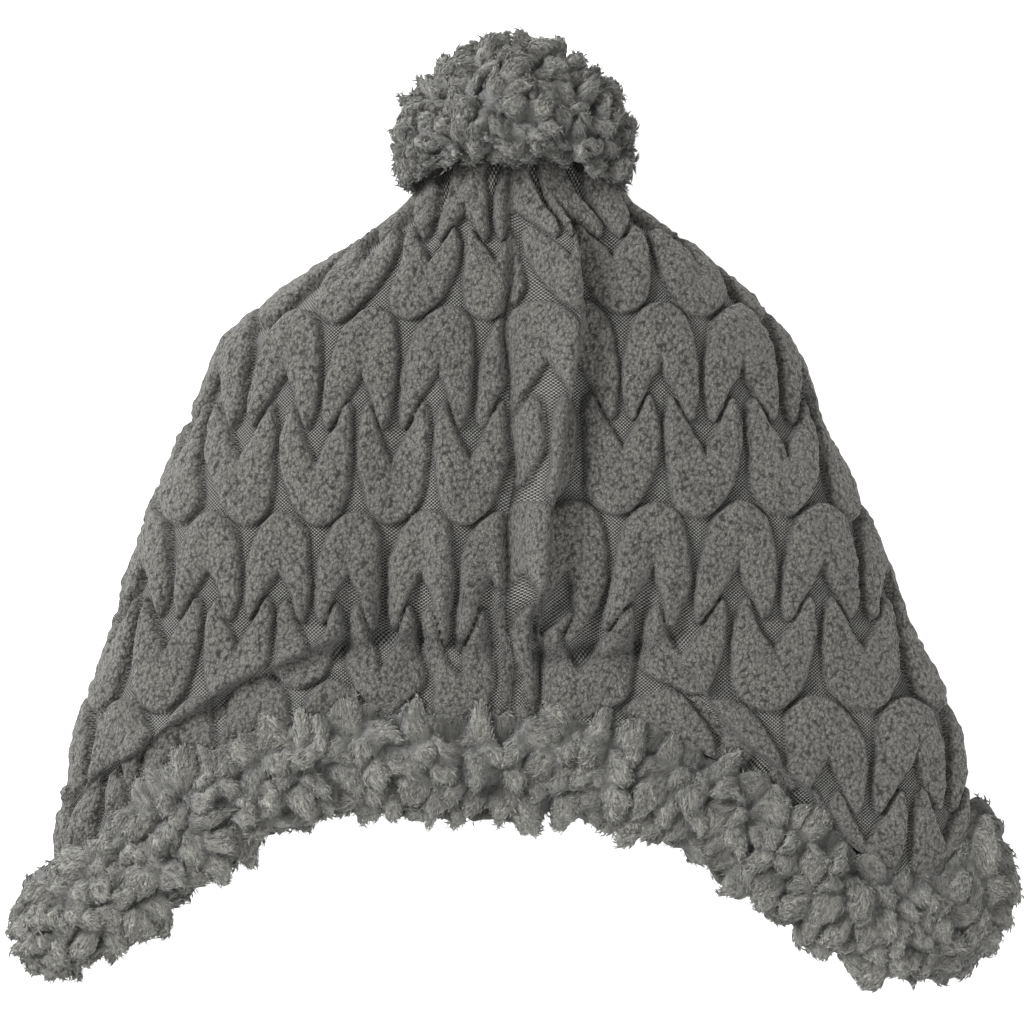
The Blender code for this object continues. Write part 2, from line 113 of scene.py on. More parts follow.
# Rows of leaves down each panel. below: how far below the nose. left and right: number of the row of
# leaves whose round tops lie there.
LEAF_ROW_COLUMNS = ("below", "left", "right")
LEAF_ROWS = (
    (-0.002, 1.00, 0.98),
    (0.0055, 1.17, 1.18),
    (0.0215, 1.71, 1.74),
    (0.0350, 1.99, 2.02),
    (0.0610, 2.48, 2.51),
    (0.0880, 2.97, 3.02),
    (0.1140, 3.50, 3.51),
    (0.1392, 4.00, 4.00),
    (0.1900, 5.00, 4.98),
)

# Columns of leaves. below: how far below the nose. first: where the first column is, from the centre seam.
# second: where the second one is. pitch: between the columns after it. crest: where the standing fold is.
COLUMN_COLUMNS = ("below", "first", "second", "pitch", "crest")
LEFT_COLUMNS = (
    (-0.0020, -0.0014, 0.0067, 0.0081, 0.0),
    (0.0065, -0.0016, 0.0111, 0.0127, 0.0),
    (0.0146, -0.0030, 0.0124, 0.0154, 0.0),
    (0.0232, -0.0046, 0.0127, 0.0173, 0.0),
    (0.0362, -0.0049, 0.0158, 0.0207, 0.0),
    (0.0537, -0.0016, 0.0191, 0.0207, 0.0),
    (0.0740, 0.0003, 0.0209, 0.0206, 0.0),
    (0.0910, 0.0022, 0.0216, 0.0194, 0.0),
    (0.1056, 0.0048, 0.0238, 0.0190, 0.0),
    (0.1388, 0.0036, 0.0236, 0.0200, 0.0),
    (0.1900, 0.0036, 0.0241, 0.0205, 0.0),
)
RIGHT_COLUMNS = (
    (-0.0020, 0.0003, 0.0057, 0.0097, 0.0045),
    (0.0043, 0.0008, 0.0103, 0.0135, 0.0089),
    (0.0140, 0.0016, 0.0159, 0.0205, 0.0150),
    (0.0208, 0.0022, 0.0167, 0.0219, 0.0166),
    (0.0340, 0.0070, 0.0192, 0.0216, 0.0182),
    (0.0535, 0.0086, 0.0186, 0.0221, 0.0164),
    (0.0720, 0.0076, 0.0192, 0.0221, 0.0130),
    (0.0875, 0.0035, 0.0170, 0.0224, 0.0107),
    (0.1058, 0.0026, 0.0154, 0.0227, 0.0089),
    (0.1258, 0.0015, 0.0089, 0.0246, 0.0081),
    (0.1393, 0.0010, 0.0062, 0.0252, 0.0081),
    (0.1577, 0.0014, 0.0146, 0.0235, 0.0080),
    (0.1900, 0.0014, 0.0160, 0.0225, 0.0080),
)

# Outline of one leaf from its round end. along: share of a row. outer: half width, and notch: half width
# of the notch between its two legs, as shares of a column.
LEAF_COLUMNS = ("along", "outer", "notch")
LEAF = (
    (0.000, 0.000, -0.400),
    (0.012, 0.130, -0.380),
    (0.040, 0.235, -0.340),
    (0.077, 0.318, -0.290),
    (0.128, 0.378, -0.220),
    (0.205, 0.428, -0.130),
    (0.300, 0.462, -0.045),
    (0.345, 0.472, 0.000),
    (0.400, 0.480, 0.075),
    (0.450, 0.480, 0.145),
    (0.500, 0.470, 0.205),
    (0.545, 0.450, 0.255),
    (0.575, 0.428, 0.290),
    (0.597, 0.400, 0.320),
    (0.610, 0.362, 0.362),
)
LEAF_LAP = 1.085
SLOPE_STEP = 0.004

# Soft folds of the upper layer: the solids' own, and finer ones of the cloth. x0, y0, x1, y1: shares of
# the side's width and of CROWN_LENGTH. wide: share of FOLD_WIDTH, rise: share of FOLD_RISE.
FOLD_WIDTH = 0.0100
FOLD_RISE = 0.0100
FOLD_COLUMNS = ("x0", "y0", "x1", "y1", "wide", "rise")
FOLDS = (
    (0.210, 0.160, 0.165, 0.760, 0.70, -0.30),
    (-0.150, 0.360, -0.125, 0.800, 0.75, 0.26),
    (-0.230, 0.420, -0.250, 0.790, 0.70, -0.26),
    (-0.420, 0.960, -0.820, 1.120, 0.65, 0.36),
    (0.440, 0.960, 0.840, 1.180, 0.70, 0.34),
)

# Creases where the cloth of a flap doubles over along the border: a line from (x0, y0) through (x1, y1)
# to (x2, y2), in shares of the side's width and of CROWN_LENGTH. tucked: width of the cloth hidden in it.
CREASE_COLUMNS = ("x0", "y0", "x1", "y1", "x2", "y2", "tucked")
CREASES = (
    (-0.400, 0.855, -0.650, 0.960, -0.970, 1.130, 0.0070),
    (0.400, 0.905, 0.680, 1.150, 0.860, 1.275, 0.0080),
)
CREASE_RISE = 0.0030
CREASE_ABOVE = 0.0042
CREASE_BELOW = 0.0020
CREASE_END = 0.012
CREASE_WANDER = 0.0022
CREASE_STEPS = 25
CREASE_DIP = 0.9
CREASE_DIP_AT = 0.0042
CREASE_DIP_WIDTH = 0.0024
CREASE_HIDES_FROM = -0.0004
CREASE_HIDES_TO = 0.0030
CREASE_SHADE_AT = 0.0014
CREASE_SHADE_WIDTH = 0.0013


def column(table, columns, name):
    """One named column of a table, as an array."""
    return np.array([row[columns.index(name)] for row in table])


def eased(table, columns, name, at):
    """A column read at a value of the first column, along a smooth curve that never overshoots its rows."""
    xs = column(table, columns, columns[0])
    ys = column(table, columns, name)
    steps = np.diff(xs)
    slopes = np.diff(ys) / steps
    tangents = np.zeros(len(xs))
    tangents[0], tangents[-1] = slopes[0], slopes[-1]
    same_way = slopes[:-1] * slopes[1:] > 0
    with np.errstate(divide="ignore", invalid="ignore"):
        harmonic = 2 * slopes[:-1] * slopes[1:] / (slopes[:-1] + slopes[1:])
    tangents[1:-1] = np.where(same_way, harmonic, 0.0)
    at = np.clip(np.asarray(at, float), xs[0], xs[-1])
    i = np.clip(np.searchsorted(xs, at, side="right") - 1, 0, len(steps) - 1)
    t = (at - xs[i]) / steps[i]
    return (
        (1 + 2 * t) * (1 - t) ** 2 * ys[i]
        + t * (1 - t) ** 2 * steps[i] * tangents[i]
        + t * t * (3 - 2 * t) * ys[i + 1]
        + t * t * (t - 1) * steps[i] * tangents[i + 1]
    )


def smooth_step(low, high, value):
    """0 up to low, 1 from high on, and a smooth rise between them."""
    t = np.clip((value - low) / (high - low), 0.0, 1.0)
    return t * t * (3 - 2 * t)


def section(name, down):
    """One column of the panels' sections, that far down the hat."""
    return eased(SECTIONS, SECTION_COLUMNS, name, down)


def side_width(side):
    """Lying width of the half on that side: -1 for the left one, 1 for the right one."""
    return RIGHT_WIDTH if side > 0 else LEFT_WIDTH


def side_name(side):
    """Name of that side."""
    return "right" if side > 0 else "left"


def hashed(ix, iy, iz, seed):
    """A number from -1 to 1 for each lattice point, always the same for the same point."""
    h = (ix * 374761393 + iy * 668265263 + iz * 1274126177 + seed * 144665) & 0xFFFFFFFF
    h = ((h ^ (h >> 13)) * 1103515245) & 0xFFFFFFFF
    h = ((h ^ (h >> 16)) * 2246822519) & 0xFFFFFFFF
    return (h & 0xFFFFFF) / 8388607.5 - 1.0


def soft_noise(points, size, seed):
    """Smooth noise from -1 to 1 with lumps of about one size."""
    scaled = points / size
    base = np.floor(scaled).astype(np.int64)
    t = scaled - base
    t = t * t * (3 - 2 * t)
    total = np.zeros(points.shape[:-1])
    for cx in (0, 1):
        for cy in (0, 1):
            for cz in (0, 1):
                weight = (
                    (t[..., 0] if cx else 1 - t[..., 0])
                    * (t[..., 1] if cy else 1 - t[..., 1])
                    * (t[..., 2] if cz else 1 - t[..., 2])
                )
                total += weight * hashed(base[..., 0] + cx, base[..., 1] + cy, base[..., 2] + cz, seed)
    return total


# Size of the lumps of each noise, in metres, and the number that sets it apart from the others
NOISES = {
    "crease line": (0.015, 17),
    "leaf column": (0.021, 3),
    "leaf row": (0.024, 4),
    "nape column": (0.0105, 15),
    "nape row": (0.0120, 16),
    "leaf outline": (0.0042, 5),
    "fine outline": (0.0017, 9),
    "pile": (0.0015, 6),
    "coarse pile": (0.0032, 7),
    "puff": (0.016, 8),
    "fluff": (0.0016, 13),
    "coarse fluff": (0.0034, 14),
    "swell": (0.015, 41),
    "overhang": (0.0055, 43),
}


def noise(name, points):
    """One of the named noises, from -1 to 1."""
    return soft_noise(points, *NOISES[name])


def bell(value, width):
    """1 where the value is 0, falling smoothly to 0 within about twice the width."""
    return np.exp(-((value / width) ** 2))


def plan_point(side, upper, across, down):
    """x and y of a point of a layer, with the nose of the crown at y 0 and the mouth towards -y."""
    half_width = side_width(side) * section(side_name(side), down)
    centre_y = -CROWN_LENGTH * down
    fold_y = -FLAP_LENGTH * section("side", down)
    rim_drop = eased(RIM, RIM_COLUMNS, side_name(side) + ("" if upper else "_under"), across)
    towards_rim = smooth_step(0.45, 1.0, down)
    drop = (1 - towards_rim) * across**2 + towards_rim * rim_drop
    y = centre_y + (fold_y - centre_y) * drop
    if not upper:
        y = y + FOREHEAD_RISE * (1 - across**2) * down**2
    return side * half_width * across, y


def layer_point(side, upper, across, down, inset=0.0):
    """A point of the smooth panel, inset from its outer face."""
    x, y = plan_point(side, upper, across, down)
    half_width = np.abs(side_width(side) * section(side_name(side), down))
    x = x * np.maximum(half_width - inset, 0.0) / np.maximum(half_width, 1e-9)
    fold_z = PUFF_HEIGHT * section("fold", down)
    if upper:
        reach = np.maximum(PUFF_HEIGHT * section("top", down) - inset - fold_z, 0.0)
        z = fold_z + reach * np.sqrt(np.clip(1 - across**UPPER_POWER, 0, 1))
    else:
        reach = np.maximum(fold_z - PUFF_HEIGHT * section("under", down) - inset, 0.0)
        z = fold_z - reach * np.sqrt(np.clip(1 - across**LOWER_POWER, 0, 1))
        z = np.where(z < FLAT_WITHIN, 0.0, z)
    return x + side * SEAM_GAP / 2, y, z


def fold_height(x, y):
    """Rise of the soft folds at a point of the upper layer."""
    total = np.zeros(np.broadcast(x, y).shape)
    for row in FOLDS:
        fold = dict(zip(FOLD_COLUMNS, row))
        width = side_width(1 if fold["x0"] > 0 else -1)
        x0, y0 = fold["x0"] * width, -fold["y0"] * CROWN_LENGTH
        x1, y1 = fold["x1"] * width, -fold["y1"] * CROWN_LENGTH
        run_x, run_y = x1 - x0, y1 - y0
        along = ((x - x0) * run_x + (y - y0) * run_y) / (run_x**2 + run_y**2)
        nearest = np.clip(along, 0.0, 1.0)
        away = np.hypot(x - x0 - nearest * run_x, y - y0 - nearest * run_y)
        total = total + FOLD_RISE * fold["rise"] * bell(away, FOLD_WIDTH * fold["wide"])
    return total


def crease_place(crease, x, y):
    """How far past a crease each point is, how much of the crease is there, and the way across it."""
    row = dict(zip(CREASE_COLUMNS, crease))
    width = side_width(1 if row["x0"] > 0 else -1)
    corners = np.array([(row[f"x{k}"] * width, -row[f"y{k}"] * CROWN_LENGTH) for k in range(3)])
    t = np.linspace(0, 1, CREASE_STEPS)[:, None]
    curve = (1 - t) ** 2 * corners[0] + 2 * t * (1 - t) * (2 * corners[1] - corners[0] / 2 - corners[2] / 2)
    curve = curve + t**2 * corners[2]
    best = np.full(np.broadcast(x, y).shape, 1e9)
    past, across_x, across_y, end = (np.zeros_like(best) for _ in range(4))
    for first, last in zip(curve[:-1], curve[1:]):
        run = last - first
        length = np.hypot(*run)
        normal = np.array([run[1], -run[0]]) / length
        normal = normal * (-1 if normal[1] > 0 else 1)
        along = np.clip(((x - first[0]) * run[0] + (y - first[1]) * run[1]) / length**2, 0, 1)
        dx, dy = x - first[0] - along * run[0], y - first[1] - along * run[1]
        away = np.hypot(dx, dy)
        nearer = away < best
        best = np.where(nearer, away, best)
        signed = dx * normal[0] + dy * normal[1]
        past = np.where(nearer, signed, past)
        across_x = np.where(nearer, normal[0], across_x)
        across_y = np.where(nearer, normal[1], across_y)
        end = np.where(nearer, np.sqrt(np.maximum(away**2 - signed**2, 0)), end)
    place = np.stack(np.broadcast_arrays(x, y, 0.0), axis=-1)
    past = past + CREASE_WANDER * noise("crease line", place)
    share = 1 - smooth_step(0.0, CREASE_END, end)
    return past, share, across_x, across_y


def flap_creases(side, x, y):
    """Rise of the doubled cloth beside the creases of a flap, and how much cloth each hides, as a shift."""
    rise = np.zeros(np.broadcast(x, y).shape)
    shift_x, shift_y, deep = (np.zeros_like(rise) for _ in range(3))
    for crease in CREASES:
        if crease[0] * side < 0:
            continue
        past, share, across_x, across_y = crease_place(crease, x, y)
        roll = bell(past, np.where(past < 0, CREASE_ABOVE, CREASE_BELOW))
        rise = rise + CREASE_RISE * share * (roll - CREASE_DIP * bell(past - CREASE_DIP_AT, CREASE_DIP_WIDTH))
        hidden = crease[-1] * share * smooth_step(CREASE_HIDES_FROM, CREASE_HIDES_TO, past)
        shift_x, shift_y = shift_x + across_x * hidden, shift_y + across_y * hidden
        deep = np.maximum(deep, share * bell(past - CREASE_SHADE_AT, CREASE_SHADE_WIDTH))
    return rise, shift_x, shift_y, deep


# The standing fold beside the seam: gentle towards the seam, steep away from it
STANDING_RISE = 0.0080
STANDING_NEAR = 0.0085
STANDING_FAR = 0.0022
STANDING_LEAN = 0.0032
STANDING_START = -0.0018
STANDING_FOOT = 0.0055
STANDING_BEGINS = (0.002, 0.018)
STANDING_ENDS = (0.108, 0.122)


def standing_fold(side, x, below):
    """Rise and sideways lean of the standing fold."""
    if side < 0:
        return np.zeros_like(x), np.zeros_like(x)
    crest = eased(RIGHT_COLUMNS, COLUMN_COLUMNS, "crest", below)
    away = x - crest - STANDING_START
    shape = bell(away, np.where(away < 0, STANDING_NEAR, STANDING_FAR))
    share = smooth_step(*STANDING_BEGINS, below) * (1 - smooth_step(*STANDING_ENDS, below))
    share = share * smooth_step(0.0, STANDING_FOOT, x)
    return STANDING_RISE * shape * share, STANDING_LEAN * shape * share


# Gathers of the elastic at the nape, the crease of the centre seam, and pleats at the nose
ELASTIC_BELOW = 0.1275
ELASTIC_REACH = 0.046
ELASTIC_DEPTH = 0.0036
ELASTIC_WIDTH = 0.0030
ELASTIC_WAVE = 0.0022
ELASTIC_WAVE_REACH = 0.013
ELASTIC_SLOPE = 0.05
GATHER_DEPTH = 0.0036
GATHER_UP = 0.021
GATHER_DOWN = 0.012
GATHER_CHANGE = (-0.009, 0.007)
SEAM_DIP = 0.0026
SEAM_WIDTH = 0.0017
SEAM_CLEAR = 0.0060
SEAM_WANDER = 0.0009
SEAM_WANDER_REACH = 0.007
SEAM_WAVES = ((0.0098, 1.0, 0.0), (0.0041, 0.55, 1.0))
NOSE_PLEATS = 5
NOSE_PLEAT_DEPTH = 0.0010
NOSE_PLEATS_BEGIN = (0.0, 0.03)
NOSE_PLEATS_END = (0.07, 0.22)


def gather_depth(place, x, below, inner_face):
    """Depth of the gathers, the elastic's groove and the centre seam; for the inner face, their deepest."""
    above = ELASTIC_BELOW + ELASTIC_WAVE * np.sin(x / ELASTIC_WAVE_REACH) - ELASTIC_SLOPE * np.abs(x) - below
    between_legs, between_leaves = (
        1.0 if inner_face else 0.5 + 0.5 * np.cos(turns * math.pi * place) for turns in (4, 2)
    )
    mix = smooth_step(*GATHER_CHANGE, above)
    pleats = mix * between_legs * bell(above, GATHER_UP)
    pleats = pleats + (1 - mix) * between_leaves * bell(above, GATHER_DOWN)
    groove = bell(above, ELASTIC_WIDTH)
    within = 1 - smooth_step(0.75 * ELASTIC_REACH, 1.2 * ELASTIC_REACH, np.abs(x))
    beside = 1 - bell(x, SEAM_CLEAR)
    return within * beside * (GATHER_DEPTH * pleats + ELASTIC_DEPTH * groove) + SEAM_DIP * bell(x, SEAM_WIDTH)


def seam_wander(x, below):
    """Sideways shift of the cloth near the centre seam, which lies in a slightly wavy line."""
    wave = sum(size * np.sin(below / reach + start) for reach, size, start in SEAM_WAVES)
    return SEAM_WANDER * wave * np.exp(-np.abs(x) / SEAM_WANDER_REACH) * smooth_step(0.004, 0.02, below)


def nose_depth(across, down):
    """Depth of the pleats that gather the crown at its nose."""
    fade = smooth_step(*NOSE_PLEATS_BEGIN, down) * (1 - smooth_step(*NOSE_PLEATS_END, down))
    return NOSE_PLEAT_DEPTH * fade * (0.5 - 0.5 * np.cos(2 * math.pi * NOSE_PLEATS * across))


TUCK_MIDDLE = 0.0012
TUCK_WIDTH = 0.0017
TUCK_DEPTH = 0.0015
TUCK_BEGINS = (0.012, 0.03)
TUCK_DEEPENS = (0.098, 0.112)


def tuck_band(side, x, below):
    """1 where the cloth is tucked away beside the standing fold, falling to 0 on both sides of it."""
    if side < 0:
        return 0.0 * x
    crest = eased(RIGHT_COLUMNS, COLUMN_COLUMNS, "crest", below)
    away = np.abs(x) - crest - STANDING_START - TUCK_MIDDLE
    return bell(away, TUCK_WIDTH) * smooth_step(*TUCK_BEGINS, below)


def leaf_place(side, x, below):
    """Column and row of leaves at a point of the upper layer, with leaf k in the middle of column k."""
    table = RIGHT_COLUMNS if side > 0 else LEFT_COLUMNS
    first, second, pitch = (eased(table, COLUMN_COLUMNS, name, below) for name in COLUMN_COLUMNS[1:4])
    place = 1 + (np.abs(x) - second) / pitch
    if side > 0:
        tucked = 1 - (second - first) / pitch
        crest = eased(table, COLUMN_COLUMNS, "crest", below)
        past = np.abs(x) - crest - STANDING_START
        place = place - tucked * (1 - smooth_step(-0.0010, 0.0026, past))
    row = eased(LEAF_ROWS, LEAF_ROW_COLUMNS, side_name(side), below)
    return place, row, pitch


def leaf_inset(away, along, pitch, row_pitch):
    """How far inside the edge of a leaf a point is; away and along are shares of a column and a row."""
    insets = []
    for name, inward in (("outer", 1), ("notch", -1)):
        edge = eased(LEAF, LEAF_COLUMNS, name, along)
        further = eased(LEAF, LEAF_COLUMNS, name, along + SLOPE_STEP)
        slope = (further - edge) * pitch / (SLOPE_STEP * row_pitch)
        insets.append(inward * (edge - away) * pitch / np.hypot(1, slope))
    depth = np.where(along < 0, along * row_pitch, np.minimum(*insets))
    end, end_width = LEAF[-1][:2]
    return np.where(along > end, -np.hypot((along - end) * row_pitch, (away - end_width) * pitch), depth)


def leaf_depth(column_place, row_place, pitch, row_pitch):
    """How far inside its own leaf each point is; negative between leaves, zero on the crease between two."""
    away = np.abs(column_place - np.round(column_place))
    share = row_place - np.floor(row_place)
    upright = leaf_inset(away, share, pitch, row_pitch)
    lap = LEAF_LAP - 1
    hanging = np.maximum(
        leaf_inset(0.5 - away, LEAF_LAP - share, pitch, row_pitch),
        np.where(share < lap, leaf_inset(0.5 - away, lap - share, pitch, row_pitch), -1.0),
    )
    both = (upright > 0) & (hanging > 0)
    apart = np.abs(upright - hanging) / 2
    return np.where(both, apart, np.maximum(upright, hanging))


# The nape, where the elastic squeezes the leaves: its middle, its half sizes, and how far leaves shift there
NAPE_BELOW = 0.130
NAPE_HALF_WIDTH = 0.044
NAPE_HALF_HEIGHT = 0.017
NAPE_SIDEWAYS = 0.17
NAPE_RAISE = 0.12
NAPE_UNEVEN = 0.09
FURROW_FROM = 0.62
FURROW_TO = 1.35

# The fleece's relief: leaves as round pillows, the wander of their outlines, and the soft pile on them
LEAF_WOBBLE = 0.018
LEAF_ROUNDNESS = 2.3
LEAF_PILLOW = 0.82
LEAF_CROWN = 0.22
LEAF_CROWN_REACH = 0.009
LEAF_SINK = 0.62
OUTLINE_WANDER = 0.00042
FINE_WANDER = 0.00022
PILE_RELIEF = 0.00045
COARSE_RELIEF = 0.00025
PUFF_RELIEF = 0.0006
TUCKED_SINK = 0.0012
TUCKED_FLAT = 0.85
STITCH_WIDTH = 0.0011

# Painted shade in the cloth's colour: how light it stays between two leaves, at a leaf's edge, in a tuck,
# along the seam and in a furrow
BETWEEN_SHADE = 0.46
LEAF_EDGE_SHADE = 0.32
TUCKED_SHADE = 0.40
STITCHED_DARK = 0.62
FURROW_SHADE = 0.50

# The mesh of a panel, its cut edge, and the soft shift of its outline at the shoulders and the nose
FLEECE_ROWS = 300
FIRST_DOWN = 0.004
ROW_POWER = 1.12
UPPER_COLUMNS = 215
LOWER_COLUMNS = 64
INNER_ROWS = 70
INNER_COLUMNS = 70
INNER_FIRST_DOWN = 0.045
FOLDED_NORMAL = 0.35
RIM_REACH = 0.007
EVEN_SHARE = 0.55
EDGE_POWER = 0.82
EDGE_FROM = 0.90
RIM_TUCK = 0.0010
SHOULDER_PULL = {"left": 0.0042, "right": 0.0030}
SHOULDER_BELOW = 0.040
SHOULDER_REACH = 0.030
NOSE_BULGE = 0.0050
NOSE_REACH = 0.0036


def section_path(upper_count, lower_count):
    """across at each column of the upper layer, then of the lower one, close together near the ear fold."""
    upper, lower = (
        EVEN_SHARE * turn + (1 - EVEN_SHARE) * np.sin(turn * math.pi / 2) ** EDGE_POWER
        for turn in (np.linspace(0.0, 1.0, upper_count), np.linspace(1.0, 0.0, lower_count))
    )
    return upper, lower[1:]


def panel_grid(side, downs, upper, lower, inset, shaped):
    """Points of a panel on a grid: a row for each value of downs, from the upper seam to the lower one."""
    down = downs[:, None]
    x, y, z = layer_point(side, True, upper[None, :], down, inset)
    x = x + 0 * z
    if shaped:
        flat = np.sqrt(np.clip(1 - upper[None, :] ** 4, 0, 1))
        start = smooth_step(0.0, 0.03, down)
        rise, lean = (share * (inset == 0) for share in standing_fold(side, np.abs(x), -y))
        folds = fold_height(x, y) * smooth_step(0.03, 0.12, down) + rise
        place = leaf_place(side, x, -y)[0]
        pressed = gather_depth(place, x, -y, inset > 0) * start + nose_depth(upper[None, :], down)
        pressed = pressed + TUCK_DEPTH * tuck_band(side, x, -y) * smooth_step(*TUCK_DEEPENS, -y)
        if inset == 0:
            folds = folds + flap_creases(side, x, y)[0]
        z = z + flat * (folds - pressed)
        x = x + lean + seam_wander(x, -y)
    top = np.stack(np.broadcast_arrays(x, y, z), axis=-1)
    x, y, z = layer_point(side, False, lower[None, :], down, inset)
    bottom = np.stack(np.broadcast_arrays(x, y, z), axis=-1)
    return np.concatenate([top, bottom], axis=1)


def unit(vectors):
    """The same directions with length 1."""
    return vectors / np.maximum(np.linalg.norm(vectors, axis=-1, keepdims=True), 1e-12)


def grid_normals(grid, side):
    """Outward normals of a grid of points."""
    return unit(np.cross(np.gradient(grid, axis=0), np.gradient(grid, axis=1)) * side)


def to_world(points):
    """Points of the hat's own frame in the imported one."""
    return points + np.array([SEAM_X, NOSE_Y, 0.0])


def grid_quads(rows, columns, first, flip):
    """Quads of a grid of vertices that starts at vertex number first."""
    index = first + np.arange(rows * columns).reshape(rows, columns)
    quads = np.stack([index[:-1, :-1], index[1:, :-1], index[1:, 1:], index[:-1, 1:]], axis=-1).reshape(-1, 4)
    return quads[:, ::-1] if flip else quads


def mesh_from_arrays(name, points, faces, values=None, vectors=None):
    """A mesh from an array of points and arrays of faces, with named numbers and vectors for each point."""
    mesh = bpy.data.meshes.new(name)
    mesh.vertices.add(len(points))
    mesh.vertices.foreach_set("co", np.ascontiguousarray(points, np.float32).ravel())
    corners = np.concatenate([part.ravel() for part in faces]).astype(np.int32)
    sizes = np.concatenate([np.full(len(part), part.shape[1]) for part in faces])
    starts = np.concatenate([[0], np.cumsum(sizes)[:-1]]).astype(np.int32)
    mesh.loops.add(len(corners))
    mesh.loops.foreach_set("vertex_index", corners)
    mesh.polygons.add(len(sizes))
    mesh.polygons.foreach_set("loop_start", starts)
    mesh.update(calc_edges=True)
    mesh.validate()
    for key, numbers in (values or {}).items():
        layer = mesh.attributes.new(key, "FLOAT", "POINT")
        layer.data.foreach_set("value", np.ascontiguousarray(numbers, np.float32).ravel())
    for key, numbers in (vectors or {}).items():
        layer = mesh.attributes.new(key, "FLOAT_VECTOR", "POINT")
        layer.data.foreach_set("vector", np.ascontiguousarray(numbers, np.float32).ravel())
    mesh.shade_smooth()
    return mesh


def add_piece(name, mesh, material, nodes):
    """An object of the hat that rides on its only body and stands for the given solids."""
    mesh.materials.append(material)
    piece = bpy.data.objects.new(name, mesh)
    bpy.context.scene.collection.objects.link(piece)
    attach(piece, "root")
    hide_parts(*nodes)
    return piece


def nape_share(points):
    """1 at the middle of the nape, falling to 0 round it."""
    above = (-points[..., 1] - NAPE_BELOW) / NAPE_HALF_HEIGHT
    return np.exp(-((points[..., 0] / NAPE_HALF_WIDTH) ** 4) - above**2)


def cloth_places(side, smooth, upper):
    """Column, row and pitch of the leaves at each point of a panel, and where a flap's cloth is doubled."""
    below = -smooth[..., 1]
    shift_x, shift_y, doubled = flap_creases(side, smooth[..., 0], smooth[..., 1])[1:]
    for shift in (shift_x, shift_y, doubled):
        shift[:, len(upper):] = 0.0
    place, row, pitch = leaf_place(side, smooth[..., 0] + shift_x, below - shift_y)
    edge = int(np.searchsorted(upper, EDGE_FROM))
    run = np.linalg.norm(np.diff(smooth[:, edge:], axis=1)[..., (0, 2)], axis=-1)
    place[:, edge + 1:] = place[:, edge:edge + 1] + np.cumsum(run, axis=1) / pitch[:, edge:edge + 1]
    pitch[:, edge + 1:] = pitch[:, edge:edge + 1]
    nape = nape_share(smooth)
    raised = NAPE_RAISE + NAPE_UNEVEN * noise("nape row", smooth)
    place = place + LEAF_WOBBLE * noise("leaf column", smooth)
    place = place + NAPE_SIDEWAYS * nape * noise("nape column", smooth)
    row = row + LEAF_WOBBLE * noise("leaf row", smooth) - nape * raised
    return place, row, pitch, doubled


def leaf_relief(depth, downs, look):
    """Height of the cloth where it is that far inside a leaf."""
    ramp = np.clip(depth / look.leaf_edge, 0.0, 1.0)
    pillow = np.sqrt(np.clip(1 - (1 - ramp) ** LEAF_ROUNDNESS, 0, 1))
    crown = LEAF_CROWN * smooth_step(0.0, LEAF_CROWN_REACH, depth)
    fade = smooth_step(0.0, 0.02, downs)[:, None]
    return look.leaf_rise * (pillow * LEAF_PILLOW + crown) * fade - look.leaf_rise * LEAF_SINK


def painted_crease_shade(depth, tucked, stitched, furrow):
    """Painted shade: how light the cloth's colour is: 1 in the open, darker in the creases between leaves, at
    leaf edges, in tucks and furrows, where shade falls, and darker along the seam.
    """
    between = BETWEEN_SHADE + (1 - BETWEEN_SHADE) * smooth_step(0.0002, 0.0014, -depth)
    within = LEAF_EDGE_SHADE + (1 - LEAF_EDGE_SHADE) * smooth_step(-0.0002, 0.0009, depth)
    tone = np.where(depth < 0, between, within)
    return tone * (1 - TUCKED_SHADE * tucked) * (1 - STITCHED_DARK * stitched) * (1 - FURROW_SHADE * furrow)


def keep_to_side(points, side, below, upper_count):
    """Keeps the points of a panel on their side of the centre seam's line, which it returns."""
    line = seam_wander(0.0, below)
    line[:, upper_count:] = 0.0
    points[..., 0] = line + side * np.maximum(side * (points[..., 0] - line), SEAM_GAP / 20)
    return line


